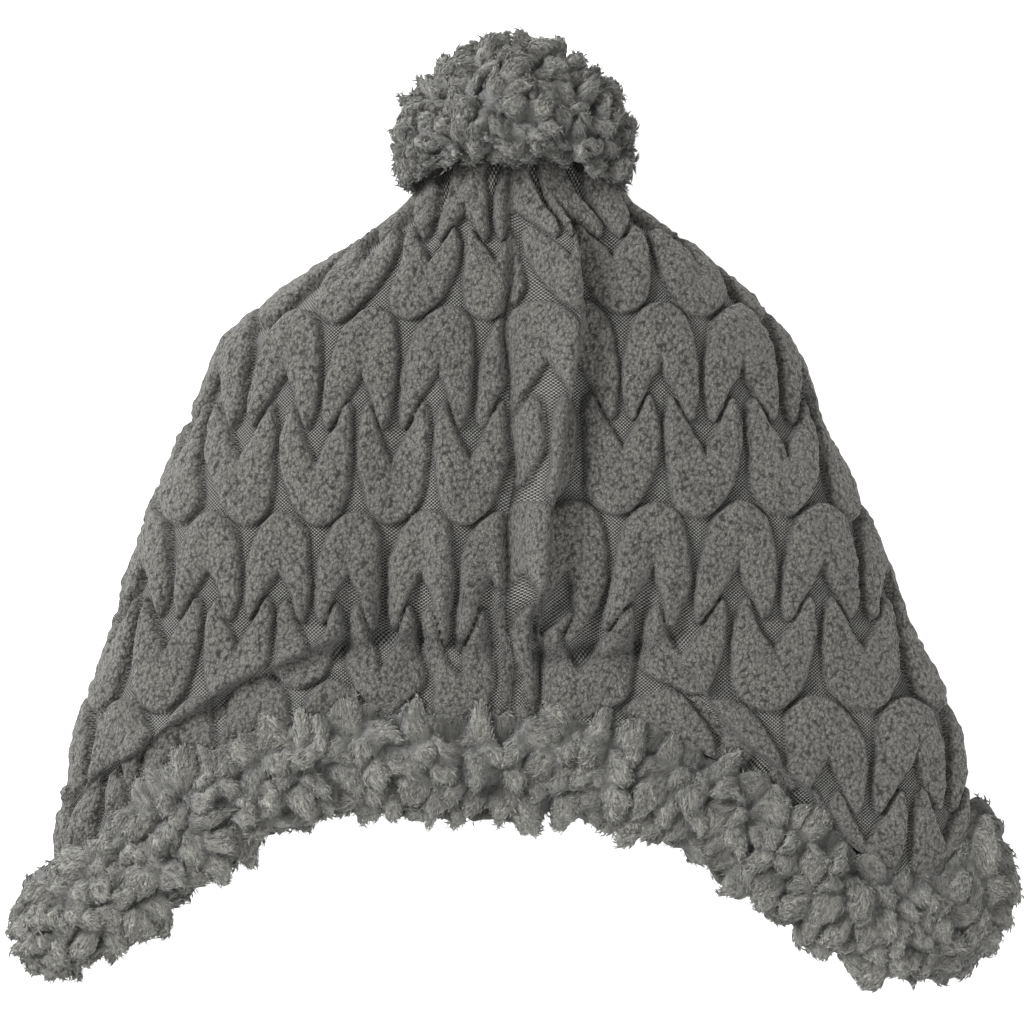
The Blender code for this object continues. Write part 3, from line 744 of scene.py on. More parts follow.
def fleece_points(side, look):
    """The embossed outer face of a panel, its share of knit ground, its place in the cloth, its painted
    shade.
    """
    downs = FIRST_DOWN + (1 - FIRST_DOWN) * np.linspace(0.0, 1.0, FLEECE_ROWS) ** ROW_POWER
    upper, lower = section_path(UPPER_COLUMNS, LOWER_COLUMNS)
    grid, smooth = (panel_grid(side, downs, upper, lower, 0.0, shaped) for shaped in (True, False))
    below = -smooth[..., 1]
    on_top = np.arange(smooth.shape[1]) < len(upper)
    place, row, pitch, doubled = cloth_places(side, smooth, upper)
    depth = leaf_depth(place, row, pitch, look.leaf_row)
    wander = OUTLINE_WANDER * noise("leaf outline", smooth)
    depth = depth + wander + FINE_WANDER * noise("fine outline", smooth) + look.leaf_spread
    at_seam, stitched = (on_top * bell(smooth[..., 0], width) for width in (SEAM_WIDTH, STITCH_WIDTH))
    tucked = np.maximum(on_top * tuck_band(side, smooth[..., 0], below), doubled)
    gathered = (smooth - grid)[..., 2] / GATHER_DEPTH
    furrow = on_top * nape_share(smooth) * smooth_step(FURROW_FROM, FURROW_TO, gathered)
    # crease is painted shade: it darkens the colour between leaves, at leaf edges, in tucks, doubled cloth
    # and nape furrows, and along the seam
    crease = painted_crease_shade(depth, tucked, stitched, furrow)
    relief = leaf_relief(depth, downs, look) * (1 - at_seam) * (1 - TUCKED_FLAT * tucked)
    relief = relief - TUCKED_SINK * tucked
    grain = PILE_RELIEF * noise("pile", smooth) + COARSE_RELIEF * noise("coarse pile", smooth)
    grain = grain * smooth_step(0.0, 0.001, depth)
    near_rim = smooth_step(0.0, RIM_REACH, (1 - downs[:, None]) * CROWN_LENGTH)
    push = (relief + grain + PUFF_RELIEF * noise("puff", smooth)) * near_rim - RIM_TUCK * (1 - near_rim)
    push = push + NOSE_BULGE * (1 - smooth_step(0.0, 0.05, downs))[:, None]
    normals = grid_normals(grid, side) * FOLDED_NORMAL + grid_normals(smooth, side) * (1 - FOLDED_NORMAL)
    settled = smooth_step(0.0, 0.004, grid[..., 2] - 0.0006)
    points = grid + normals * (push * settled)[..., None]
    points[..., 1] += NOSE_REACH * (1 - smooth_step(0.0, 0.07, downs))[:, None] * settled
    points[..., 2] = np.maximum(points[..., 2], 0.0)
    pull = SHOULDER_PULL[side_name(side)] * bell(below - SHOULDER_BELOW, SHOULDER_REACH)
    points[..., 0] -= side * pull * np.clip(np.abs(smooth[..., 0]) / side_width(side), 0, 1) ** 2
    line = keep_to_side(points, side, below, len(upper))
    points[:, 0, 0] = line[:, 0] + side * SEAM_GAP / 20
    points[:, -1, 0] = side * SEAM_GAP / 2
    steps = np.linalg.norm(np.diff(smooth, axis=1)[..., (0, 2)], axis=-1)
    across = np.concatenate([np.zeros((len(downs), 1)), np.cumsum(steps, axis=1)], axis=1)
    ground = 1 - smooth_step(-0.00025, 0.00015, depth)
    return points, ground, np.stack([across * side, below, 0 * row], axis=-1), crease


def fleece_panel(side, material):
    """A closed panel: embossed outer face, smooth inner face, and the cut edges that join them."""
    look = bpy.context.scene.hat_fleece
    name = side_name(side)
    outer, ground, cloth, crease = fleece_points(side, look)
    rows, columns = outer.shape[:2]
    inner_upper, inner_lower = section_path(INNER_COLUMNS, INNER_COLUMNS)
    inner_downs = INNER_FIRST_DOWN + (1 - INNER_FIRST_DOWN) * np.linspace(0.0, 1.0, INNER_ROWS)
    inner = panel_grid(side, inner_downs, inner_upper, inner_lower, WALL, True)
    inner[..., 2] = np.maximum(inner[..., 2], WALL)
    keep_to_side(inner, side, -inner[..., 1], INNER_COLUMNS)
    inner_rows, inner_columns = inner.shape[:2]
    count, inner_count = rows * columns, inner_rows * inner_columns
    outer_index = np.arange(count).reshape(rows, columns)
    inner_index = count + np.arange(inner_count).reshape(inner_rows, inner_columns)
    flip = side < 0
    edges = (
        (outer_index[-1], inner_index[-1], not flip),
        (outer_index[0], inner_index[0], flip),
        (outer_index[:, 0], inner_index[:, 0], not flip),
        (outer_index[:, -1], inner_index[:, -1], flip),
    )
    faces = [grid_quads(rows, columns, 0, not flip), grid_quads(inner_rows, inner_columns, count, flip)]
    mesh = mesh_from_arrays(
        f"{name}_fleece",
        to_world(np.concatenate([outer.reshape(-1, 3), inner.reshape(-1, 3)])),
        faces + [bridge(*edge) for edge in edges],
        {
            "ground": np.concatenate([ground.ravel(), np.zeros(inner_count)]),
            # crease holds painted shade for the outer face, and 1 for the inner face
            "crease": np.concatenate([crease.ravel(), np.ones(inner_count)]),
        },
        {"cloth": np.concatenate([cloth.reshape(-1, 3), inner.reshape(-1, 3)])},
    )
    piece = add_piece(f"{name}_fleece", mesh, material, [f"{name}_panel"])


def bridge(first, second, flip):
    """Triangles between two rows of vertices of different numbers, spread evenly."""
    first_at = np.linspace(0, 1, len(first))
    second_at = np.linspace(0, 1, len(second))
    made = []
    i = j = 0
    while i < len(first) - 1 or j < len(second) - 1:
        if j == len(second) - 1 or (i < len(first) - 1 and first_at[i + 1] <= second_at[j + 1]):
            made.append((first[i], first[i + 1], second[j]))
            i += 1
        else:
            made.append((first[i], second[j + 1], second[j]))
            j += 1
    made = np.array(made)
    return made[:, ::-1] if flip else made


def shader_of(name):
    """A new node material and its Principled shader."""
    made = bpy.data.materials.new(name)
    made.use_nodes = True
    return made, made.node_tree.nodes["Principled BSDF"]


def new_node(tree, kind, **settings):
    """A shader node with those settings."""
    made = tree.nodes.new(kind)
    for key, value in settings.items():
        setattr(made, key, value)
    return made


def colour_ramp(tree, fac, stops):
    """Colour of a ramp with the given (position, colour) stops, read at that number."""
    ramp = new_node(tree, "ShaderNodeValToRGB")
    elements = ramp.color_ramp.elements
    for i, (position, colour) in enumerate(stops):
        element = elements[i] if i < 2 else elements.new(position)
        element.position = position
        element.color = colour
    tree.links.new(fac, ramp.inputs["Fac"])
    return ramp.outputs["Color"]


def shade(colour, factor):
    """That colour, so many times as light."""
    return tuple(c * factor for c in colour[:3]) + (1.0,)


def noise_node(tree, source, scale, detail, roughness, distortion=0.0):
    """A noise texture read at those coordinates."""
    made = new_node(tree, "ShaderNodeTexNoise")
    settings = {"Scale": scale, "Detail": detail, "Roughness": roughness, "Distortion": distortion}
    for name, value in settings.items():
        made.inputs[name].default_value = value
    tree.links.new(source, made.inputs["Vector"])
    return made


def joined_node(tree, kind, operation, values):
    """First output of a node whose sockets are set, or linked, in order."""
    made = new_node(tree, kind, operation=operation)
    for socket, value in zip(made.inputs, values):
        if isinstance(value, bpy.types.NodeSocket):
            tree.links.new(value, socket)
        else:
            socket.default_value = value
    return made.outputs[0]


def maths(tree, operation, *values):
    """Result of a Math node."""
    return joined_node(tree, "ShaderNodeMath", operation, values)


def vector_maths(tree, operation, *values):
    """Result of a Vector Math node."""
    return joined_node(tree, "ShaderNodeVectorMath", operation, values)


def attribute(tree, name, output):
    """A named number or vector of the mesh."""
    return new_node(tree, "ShaderNodeAttribute", attribute_name=name).outputs[output]


def multiplied(tree, colour, *layers):
    """A colour multiplied by each layer in turn."""
    for layer in layers:
        mixed = new_node(tree, "ShaderNodeMix", data_type="RGBA", blend_type="MULTIPLY")
        mixed.inputs["Factor"].default_value = 1.0
        tree.links.new(colour, mixed.inputs["A"])
        tree.links.new(layer, mixed.inputs["B"])
        colour = mixed.outputs["Result"]
    return colour


def finish_cloth(tree, shader, colour, height, distance, looks):
    """Gives a matt shader its colour, its relief and its sheen."""
    tree.links.new(colour, shader.inputs["Base Color"])
    for name, value in looks.items():
        shader.inputs[name].default_value = value
    bump = new_node(tree, "ShaderNodeBump")
    bump.inputs["Strength"].default_value = 1.0
    bump.inputs["Distance"].default_value = distance
    tree.links.new(height, bump.inputs["Height"])
    tree.links.new(bump.outputs["Normal"], shader.inputs["Normal"])


def pile_colour(tree, look, nubs, fluff, coordinates):
    """Colour of the brushed pile: light nubs and dark gaps between them, partly the pile's own heathered
    colour and partly painted shade in the gaps, flecks, and a slow change of tone.
    """
    light, dark, middle = (shade(look.colour, factor) for factor in (1.56, 0.24, 1.00))
    pile = colour_ramp(tree, nubs, ((0.18, light), (0.84, dark), (0.52, middle)))
    flecks = colour_ramp(tree, fluff, ((0.36, (0.62, 0.62, 0.62, 1.0)), (0.64, (1.38, 1.37, 1.35, 1.0))))
    wide = noise_node(tree, coordinates, 60.0, 2.0, 0.5).outputs["Fac"]
    tone = colour_ramp(tree, wide, ((0.30, (0.90, 0.90, 0.90, 1.0)), (0.70, (1.08, 1.07, 1.06, 1.0))))
    return multiplied(tree, pile, flecks, tone)


def knit_relief(tree, look):
    """Height of the stitches of the knit ground, from 0 to 1."""
    parts = new_node(tree, "ShaderNodeSeparateXYZ")
    tree.links.new(attribute(tree, "cloth", "Vector"), parts.inputs[0])
    turn = 2 * math.pi / look.knit_pitch
    waves = [
        maths(tree, "SINE", maths(tree, "MULTIPLY", parts.outputs[axis], turn * narrower))
        for axis, narrower in (("X", 1.0), ("Y", 1.15))
    ]
    return maths(tree, "MULTIPLY_ADD", maths(tree, "MULTIPLY", *waves), 0.5, 0.5)


def fleece_material():
    """Brushed fleece with a nubby, heathered pile, and a fine knit ground between the leaves."""
    look = bpy.context.scene.hat_fleece
    made, shader = shader_of("fleece_pile")
    tree = made.node_tree
    coordinates = new_node(tree, "ShaderNodeTexCoord").outputs["Object"]
    drift = noise_node(tree, coordinates, 0.95 / look.nub_size, 1.0, 0.5).outputs["Color"]
    spread = vector_maths(tree, "MULTIPLY_ADD", drift, (look.nub_size * 1.5,) * 3, coordinates)
    cells = new_node(tree, "ShaderNodeTexVoronoi", feature="F1")
    cells.inputs["Scale"].default_value = 1 / look.nub_size
    tree.links.new(vector_maths(tree, "MULTIPLY", spread, (1.0, 0.80, 1.0)), cells.inputs["Vector"])
    nubs = cells.outputs["Distance"]
    fluff = noise_node(tree, coordinates, 2.5 / look.nub_size, 2.0, 0.7, 0.8).outputs["Fac"]
    stitches = knit_relief(tree, look)
    knit_stops = ((0.47, shade(look.knit_colour, 0.02)), (0.60, shade(look.knit_colour, 3.2)))
    ground = attribute(tree, "ground", "Fac")
    mixed = new_node(tree, "ShaderNodeMix", data_type="RGBA")
    tree.links.new(ground, mixed.inputs["Factor"])
    tree.links.new(pile_colour(tree, look, nubs, fluff, coordinates), mixed.inputs["A"])
    tree.links.new(colour_ramp(tree, stitches, knit_stops), mixed.inputs["B"])
    # Painted shade: the crease attribute darkens the colour where shade falls in creases, tucks and furrows,
    # and along the seam
    colour = multiplied(tree, mixed.outputs["Result"], attribute(tree, "crease", "Fac"))

    height = new_node(tree, "ShaderNodeMix", data_type="FLOAT")
    rounded = maths(tree, "MULTIPLY_ADD", nubs, -1.0, 1.0)
    tree.links.new(ground, height.inputs["Factor"])
    tree.links.new(maths(tree, "MULTIPLY_ADD", fluff, 0.30, rounded), height.inputs["A"])
    tree.links.new(stitches, height.inputs["B"])
    looks = {"Roughness": 1.0, "Specular IOR Level": 0.12, "Sheen Weight": 0.25, "Sheen Roughness": 0.6}
    finish_cloth(tree, shader, colour, height.outputs["Result"], look.nub_size * 0.95, looks)
    return made


def plush_material(name, bright):
    """Curly wool: fine fibres along each curl, with painted shade: lighter on each curl's top, darker in the
    crevices between curls.
    """
    look = bpy.context.scene.hat_plush
    made, shader = shader_of(name)
    tree = made.node_tree
    streaks = noise_node(tree, attribute(tree, "fibre", "Vector"), 1.0, 3.0, 0.65).outputs["Fac"]
    stops = ((0.34, shade(look.colour, 0.42 * bright)), (0.66, shade(look.colour, 1.50 * bright)))
    tint = colour_ramp(tree, streaks, stops)
    coordinates = new_node(tree, "ShaderNodeTexCoord").outputs["Object"]
    fuzz = noise_node(tree, coordinates, 1 / look.fuzz_size, 4.0, 0.8, 1.2).outputs["Fac"]
    dust = colour_ramp(tree, fuzz, ((0.38, (0.60, 0.60, 0.60, 1.0)), (0.62, (1.36, 1.36, 1.36, 1.0))))
    # The tip attribute is painted light and shade; this ramp turns it into a colour factor
    tip = attribute(tree, "tip", "Fac")
    light = colour_ramp(tree, tip, ((0.06, (0.26, 0.26, 0.25, 1.0)), (0.80, (1.26, 1.26, 1.25, 1.0))))
    height = maths(tree, "MULTIPLY_ADD", fuzz, 1.2, streaks)
    looks = {"Roughness": 1.0, "Specular IOR Level": 0.1, "Sheen Weight": 0.55, "Sheen Roughness": 0.45}
    finish_cloth(tree, shader, multiplied(tree, tint, light, dust), height, look.fuzz_size * 0.9, looks)
    return made


def node_surface(node):
    """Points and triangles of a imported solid."""
    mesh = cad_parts[node].data
    points = np.empty(len(mesh.vertices) * 3, np.float32)
    mesh.vertices.foreach_get("co", points)
    mesh.calc_loop_triangles()
    triangles = np.empty(len(mesh.loop_triangles) * 3, np.int32)
    mesh.loop_triangles.foreach_get("vertices", triangles)
    return points.reshape(-1, 3).astype(float), triangles.reshape(-1, 3)


def tree_of(points, triangles):
    """A tree of triangles, to ask for the nearest point."""
    return BVHTree.FromPolygons([tuple(p) for p in points], [tuple(int(i) for i in t) for t in triangles])


def face_normals(corners):
    """Normals of triangles or of quads, each as long as twice its area."""
    return np.cross(corners[:, -2] - corners[:, 0], corners[:, -1] - corners[:, -3])


def vertex_normals(points, faces):
    """Outward normals of the vertices of a mesh of triangles or of quads."""
    flat = face_normals(points[faces])
    normals = np.zeros_like(points)
    for k in range(faces.shape[1]):
        np.add.at(normals, faces[:, k], flat)
    return unit(normals)


def spread_roots(points, triangles, normals, spacing, chance, tries):
    """Places spread over a surface, no two closer than the spacing, with their normals."""
    corners = points[triangles]
    areas = np.linalg.norm(face_normals(corners), axis=1)
    picked = chance.choice(len(triangles), size=tries, p=areas / areas.sum())
    first, second = chance.random((2, tries))
    over = first + second > 1
    first, second = np.where(over, 1 - first, first), np.where(over, 1 - second, second)
    weights = np.stack([1 - first - second, first, second], axis=1)[..., None]
    places = (corners[picked] * weights).sum(1)
    facing = unit((normals[triangles[picked]] * weights).sum(1))
    cells, kept = {}, []
    for i, place in enumerate(places):
        cell = tuple(np.floor(place / spacing).astype(int))
        beside = itertools.product(*((c - 1, c, c + 1) for c in cell))
        around = [j for other in beside for j in cells.get(other, ())]
        if all(np.sum((places[j] - place) ** 2) > spacing**2 for j in around):
            cells.setdefault(cell, []).append(i)
            kept.append(i)
    return places[kept], facing[kept]


def along_surface(ways, facing):
    """Directions laid flat on the surface that faces that way."""
    return unit(ways - (ways * facing).sum(-1)[..., None] * facing)


def fine_surface(points, triangles, grain, calm):
    """A closed solid made again with small even quads and its own bumps calmed: points, quads."""
    mesh = bpy.data.meshes.new("grain")
    mesh.from_pydata([tuple(p) for p in points], [], [tuple(int(i) for i in t) for t in triangles])
    draft = bpy.data.objects.new("grain", mesh)
    bpy.context.scene.collection.objects.link(draft)
    remesh = draft.modifiers.new("grain", "REMESH")
    remesh.mode = "VOXEL"
    remesh.voxel_size = grain
    soften = draft.modifiers.new("calm", "SMOOTH")
    soften.factor = 0.6
    soften.iterations = calm
    bpy.context.view_layer.update()
    made = draft.evaluated_get(bpy.context.evaluated_depsgraph_get()).to_mesh()
    fine = np.empty(len(made.vertices) * 3, np.float32)
    made.vertices.foreach_get("co", fine)
    corners = np.empty(len(made.loops), np.int32)
    made.loops.foreach_get("vertex_index", corners)
    sizes = np.empty(len(made.polygons), np.int32)
    made.polygons.foreach_get("loop_total", sizes)
    if (sizes != 4).any():
        raise RuntimeError("the fine surface has faces that are not quads")
    bpy.data.objects.remove(draft)
    bpy.data.meshes.remove(mesh)
    return fine.reshape(-1, 3).astype(float), corners.reshape(-1, 4)


# One lump of wool. Its outline and roundness are measured in half lengths and half widths.
NEAR_LUMPS = 7
LUMP_BLEND = 5.0
LUMP_TAPER = 0.42
LUMP_THICKNESS = 1.3
LUMP_ROUND = 0.75
LUMP_TILT = 0.30
LUMP_EDGE = 0.42
EDGE_DROP = 0.16
SWELL = 0.0010

# The wool on it: size of a strand across and along, its relief, and the painted light and shade that make a
# lump's top lighter than its crevices and edges
STRAND_ACROSS = 0.00085
STRAND_ALONG = 0.0042
STRAND_RELIEF = 0.00024
FLUFF_RELIEF = 0.00038
PAINTED_LIGHT_LOW = 0.02
PAINTED_LIGHT_GAIN = 0.72
PAINTED_LIGHT_POWER = 1.4
EDGE_SHADE = 0.38

# A loose fibre: how far it starts under the wool, where its middle is, and how far it rises
FIBRE_ROOT = 0.00015
FIBRE_MIDDLE = 0.45
FIBRE_LIFT = 0.00030
FIBRE_SPREAD = 0.36
FLOOR_LIFT = 0.0008


def nearest_lumps(points, centres):
    """The nearest lumps of each point, as an array of their numbers."""
    found = []
    for start in range(0, len(points), 4000):
        part = points[start:start + 4000]
        square = (part**2).sum(1)[:, None] + (centres**2).sum(1)[None, :] - 2 * part @ centres.T
        found.append(np.argpartition(square, NEAR_LUMPS, axis=1)[:, :NEAR_LUMPS])
    return np.concatenate(found)


def strand_pattern(offset, lumps, owner, top, way, across, u):
    """Coordinates of the strands of wool on each point's own lump: across it, along it, and its number."""
    rows = np.arange(len(offset))
    bend = 3 * lumps["bend"][owner] * u[rows, top]
    return np.stack([
        (offset * across[:, None, :]).sum(-1)[rows, top] / STRAND_ACROSS + bend,
        (offset * way[:, None, :]).sum(-1)[rows, top] / STRAND_ALONG,
        owner * 3.7,
    ], axis=-1)


def lump_surface(points, quads, lumps, look, size, sink):
    """The fine surface pressed out into lumps of wool, with the way of its strands and their painted light
    and shade.
    """
    normals = vertex_normals(points, quads)
    near = nearest_lumps(points, lumps["centre"])
    warp = np.stack([
        soft_noise(points, 0.0042, seed) + 0.5 * soft_noise(points, 0.0019, seed + 3) for seed in (31, 32, 33)
    ], axis=-1)
    offset = (points + size * look.lump_warp * warp)[:, None, :] - lumps["centre"][near]
    u, v, w = ((offset * lumps[name][near]).sum(-1) for name in ("way", "across", "facing"))
    u = u / lumps["length"][near]
    v = v / (lumps["width"][near] * (1 - LUMP_TAPER * np.clip(u, -1, 1)))
    w = w / (LUMP_THICKNESS * lumps["width"][near])
    dome = np.clip(1 - (u**2 + v**2 + w**2), 0, None) ** LUMP_ROUND
    dome = dome * (1 + LUMP_TILT * np.clip(u, -1, 1)) * lumps["height"][near]
    order = np.argsort(-dome, axis=1)
    rows = np.arange(len(points))
    top, second = order[:, 0], order[:, 1]
    high, next_high = dome[rows, top], dome[rows, second]
    owner = near[rows, top]
    way, across = lumps["way"][owner], lumps["across"][owner]
    edge = smooth_step(0.0, LUMP_EDGE, (high - next_high) / look.lump_height / size)
    blended = (dome**LUMP_BLEND).sum(1) ** (1 / LUMP_BLEND)
    strands = strand_pattern(offset, lumps, owner, top, way, across, u)
    tufted = soft_noise(strands, 1.0, 11) + 0.5 * soft_noise(strands * 2.1, 1.0, 12)
    fluff = noise("fluff", points) + 0.6 * noise("coarse fluff", points)
    grain = size * (STRAND_RELIEF * tufted + FLUFF_RELIEF * fluff) * (0.4 + 0.6 * edge)
    height = size * SWELL * noise("swell", points) + blended * (1 - EDGE_DROP + EDGE_DROP * edge) + grain
    lean = lumps["lean"][owner] * high
    moved = points + normals * (height - sink)[:, None] + way * lean[:, None]
    # Painted shade: lighter on the lumps' tops, darker low down and at their edges, where shade falls; tip
    # also takes each lump's random tone and the strands' streaks
    share = np.clip(high / (look.lump_height * size), 0, 1.2)
    light = (PAINTED_LIGHT_LOW + PAINTED_LIGHT_GAIN * share**PAINTED_LIGHT_POWER) * (1 - EDGE_SHADE + EDGE_SHADE * edge)
    tip = light + 0.05 * tufted + lumps["shade"][owner]
    return moved, way, {"points": moved, "quads": quads, "fibre": strands * (3.0, 2.2, 1.0), "tip": tip}


def make_lumps(centres, facing, ways, look, size, chance):
    """Sizes and directions of the lumps of wool."""
    count = len(centres)
    ways = along_surface(ways, facing)
    narrow = 1.0 if size == 1.0 else look.pompom_narrow
    return {
        "centre": centres,
        "facing": facing,
        "way": ways,
        "across": np.cross(facing, ways),
        "length": size * look.lump_length / 2 * chance.uniform(0.80, 1.30, count),
        "width": narrow * size * look.lump_width / 2 * chance.uniform(0.80, 1.25, count),
        "height": size * look.lump_height * chance.uniform(0.72, 1.25, count),
        "lean": chance.uniform(0.06, 0.28, count),
        "bend": chance.uniform(-1.0, 1.0, count),
        "shade": chance.uniform(-0.06, 0.06, count),
    }


def loose_fibres(points, quads, ways, tips, count, look, chance):
    """Thin closed slivers that lie along the wool of a surface and lift off it near their tips."""
    normals = vertex_normals(points, quads)
    corners = points[quads]
    areas = np.linalg.norm(face_normals(corners), axis=1)
    weights = areas * np.clip(tips[quads].mean(1), 0.05, 1.0)
    picked = chance.choice(len(quads), size=count, p=weights / weights.sum())
    at = chance.random((count, 4))
    at = (at / at.sum(1, keepdims=True))[..., None]
    base = (corners[picked] * at).sum(1)
    facing = unit((normals[quads[picked]] * at).sum(1))
    way = unit((ways[quads[picked]] * at).sum(1))
    way = along_surface(way + chance.normal(0, FIBRE_SPREAD, way.shape), facing)
    side = np.cross(facing, way)
    length = look.wisp_length * chance.uniform(0.5, 1.5, count)[:, None]
    rise = 0.02 + 0.24 * chance.uniform(0.0, 1.0, count)[:, None] ** 1.8
    turn = chance.uniform(-0.35, 0.35, count)[:, None]
    start = base - facing * FIBRE_ROOT
    middle = base + way * length * FIBRE_MIDDLE + facing * (FIBRE_LIFT + length * rise * 0.40)
    tip = base + (way + side * turn) * length + facing * (length * rise)
    half = side * (look.wisp_width / 2) * chance.uniform(0.7, 1.3, count)[:, None]
    spindle = np.stack([start, middle + half, middle - half, tip], axis=1)
    faces = np.array([(0, 2, 1), (0, 3, 2), (0, 1, 3), (3, 1, 2)])
    offsets = (np.arange(count) * 4)[:, None, None]
    fibre = np.zeros((count, 4, 3))
    fibre[..., 2] = chance.uniform(0, 900, count)[:, None]
    # Painted shade: each fibre takes the painted shade of the wool at its root, a little lighter towards its
    # own tip, and a random tone
    bright = (0.06 + 0.86 * tips[quads[picked]].mean(1) + chance.uniform(-0.15, 0.35, count))[:, None]
    return {
        "points": spindle.reshape(-1, 3),
        "triangles": (faces[None] + offsets).reshape(-1, 3),
        "fibre": fibre.reshape(-1, 3),
        "tip": (bright * np.array([0.9, 1.0, 1.0, 1.1])).reshape(-1),
    }


def joined(parts):
    """Points, faces, strands and tips of several parts as one set."""
    starts = np.cumsum([0] + [len(part["points"]) for part in parts]).tolist()
    kinds = ("quads", "triangles")
    faces = [part[kind] + start for kind in kinds for part, start in zip(parts, starts) if kind in part]
    names = ("points", "fibre", "tip")
    points, fibre, tip = (np.concatenate([part[name] for part in parts]) for name in names)
    return points, faces, fibre, tip


def distances(crown, points):
    """How far each point is from the panels, and the way from them to it."""
    hits = [crown.find_nearest(Vector(point)) for point in points]
    return np.array([hit[3] for hit in hits]), unit(points - np.array([hit[0] for hit in hits]))


def crown_tree():
    """Both packed panels, for distances."""
    left, right = (node_surface(name) for name in ("left_panel", "right_panel"))
    return tree_of(np.concatenate([left[0], right[0]]), np.concatenate([left[1], right[1] + len(left[0])]))


def keep_above_floor(points):
    """Presses whatever hangs below the floor up against it."""
    z = points[:, 2]
    points[:, 2] = np.where(z < FLOOR_LIFT, FLOOR_LIFT * np.exp((z - FLOOR_LIFT) / 0.004), z)
    return points


def add_wool(name, parts, material, node):
    """Adds a piece of wool made of those parts in place of that node."""
    points, faces, fibre, tip = joined(parts)
    mesh = mesh_from_arrays(name, keep_above_floor(points), faces, {"tip": tip}, {"fibre": fibre})
    print(name, "triangles", sum(len(kind) * (kind.shape[1] - 2) for kind in faces))
    return add_piece(name, mesh, material, [node])


# How far up a surface faces where its wool gets its full height, where the border shows beside the right
# ear fold, and the middle of the pompom's foot, from which its curls point away
LEVEL_FROM_TO = (0.1, 0.65)
PEEP_ACROSS = (0.117, 0.125)
PEEP_UP = (-0.108, -0.090)
POMPOM_FOOT = np.array([SEAM_X, NOSE_Y, 0.02])


class HatFleece(bpy.types.PropertyGroup):
    """Sizes and colours of the embossed fleece"""

    colour: bpy.props.FloatVectorProperty(
        name="Pile colour", description="Middle colour of the brushed pile", subtype="COLOR", size=4,
        default=(0.131, 0.128, 0.118, 1.0), min=0.0, max=1.0,
    )
    knit_colour: bpy.props.FloatVectorProperty(
        name="Ground colour", description="Middle colour of the knit ground", subtype="COLOR", size=4,
        default=(0.136, 0.133, 0.123, 1.0), min=0.0, max=1.0,
    )
    leaf_row: bpy.props.FloatProperty(
        name="Leaf row", description="Distance between two rows of leaves", default=0.0527, unit="LENGTH",
    )
    leaf_rise: bpy.props.FloatProperty(
        name="Leaf rise", description="Height of a leaf over the ground", default=0.0042, unit="LENGTH",
    )
    leaf_edge: bpy.props.FloatProperty(
        name="Leaf edge", description="Width of the round edge of a leaf", default=0.0020, unit="LENGTH",
    )
    leaf_spread: bpy.props.FloatProperty(
        name="Leaf spread", description="How far the pile stands out", default=-0.0001, unit="LENGTH",
    )
    nub_size: bpy.props.FloatProperty(
        name="Nub size", description="Size of the pile's small clumps", default=0.00092, unit="LENGTH",
    )
    knit_pitch: bpy.props.FloatProperty(
        name="Knit pitch", description="Distance between two stitches", default=0.00102, unit="LENGTH",
    )
    panel_area: bpy.props.FloatProperty(
        name="Panel area", description="Flat area of one panel's cut", default=0.0420, unit="AREA",
    )


class HatPlush(bpy.types.PropertyGroup):
    """Sizes and colours of the curly plush"""

    colour: bpy.props.FloatVectorProperty(
        name="Wool colour", description="Middle colour of the plush", subtype="COLOR", size=4,
        default=(0.314, 0.309, 0.282, 1.0), min=0.0, max=1.0,
    )
    lump_length: bpy.props.FloatProperty(
        name="Lump length", description="Usual length of a lump of wool", default=0.0115, unit="LENGTH",
    )
    lump_width: bpy.props.FloatProperty(
        name="Lump width", description="Usual width of a lump of wool", default=0.0086, unit="LENGTH",
    )
    lump_height: bpy.props.FloatProperty(
        name="Lump height", description="Usual height of a lump over its foot", default=0.0053, unit="LENGTH",
    )
    lump_warp: bpy.props.FloatProperty(
        name="Lump warp", description="How far the outline of a lump wanders", default=0.0016, unit="LENGTH",
    )
    lump_spacing: bpy.props.FloatProperty(
        name="Lump spacing", description="Least distance between two lumps", default=0.0056, unit="LENGTH",
    )
    lump_sink: bpy.props.FloatProperty(
        name="Lump sink", description="How deep the lumps' feet are", default=0.0042, unit="LENGTH",
    )
    overhang: bpy.props.FloatProperty(
        name="Overhang", description="How far the wool lies over the fleece", default=0.0013, unit="LENGTH",
    )
    peep: bpy.props.FloatProperty(
        name="Peep", description="How far wool shows at the right fold", default=0.0105, unit="LENGTH",
    )
    pompom_lump: bpy.props.FloatProperty(
        name="Pompom lump", description="Size of the pompom's lumps against the border's", default=0.96,
    )
    pompom_narrow: bpy.props.FloatProperty(
        name="Pompom lump width", description="Width of the pompom's lumps, as a share", default=0.78,
    )
    border_grain: bpy.props.FloatProperty(
        name="Border grain", description="Size of the border's small faces", default=0.00073, unit="LENGTH",
    )
    pompom_grain: bpy.props.FloatProperty(
        name="Pompom grain", description="Size of the pompom's small faces", default=0.00055, unit="LENGTH",
    )
    fuzz_size: bpy.props.FloatProperty(
        name="Fuzz size", description="Size of the fine fuzz on the wool", default=0.0008, unit="LENGTH",
    )
    wisp_length: bpy.props.FloatProperty(
        name="Wisp length", description="Usual length of a loose fibre", default=0.0021, unit="LENGTH",
    )
    wisp_width: bpy.props.FloatProperty(
        name="Wisp width", description="Width of a loose fibre", default=0.00014, unit="LENGTH",
    )
    border_wisps: bpy.props.IntProperty(
        name="Border wisps", description="Number of loose fibres on the border", default=49000, min=0,
    )
    pompom_wisps: bpy.props.IntProperty(
        name="Pompom wisps", description="Number of loose fibres on the pompom", default=20000, min=0,
    )


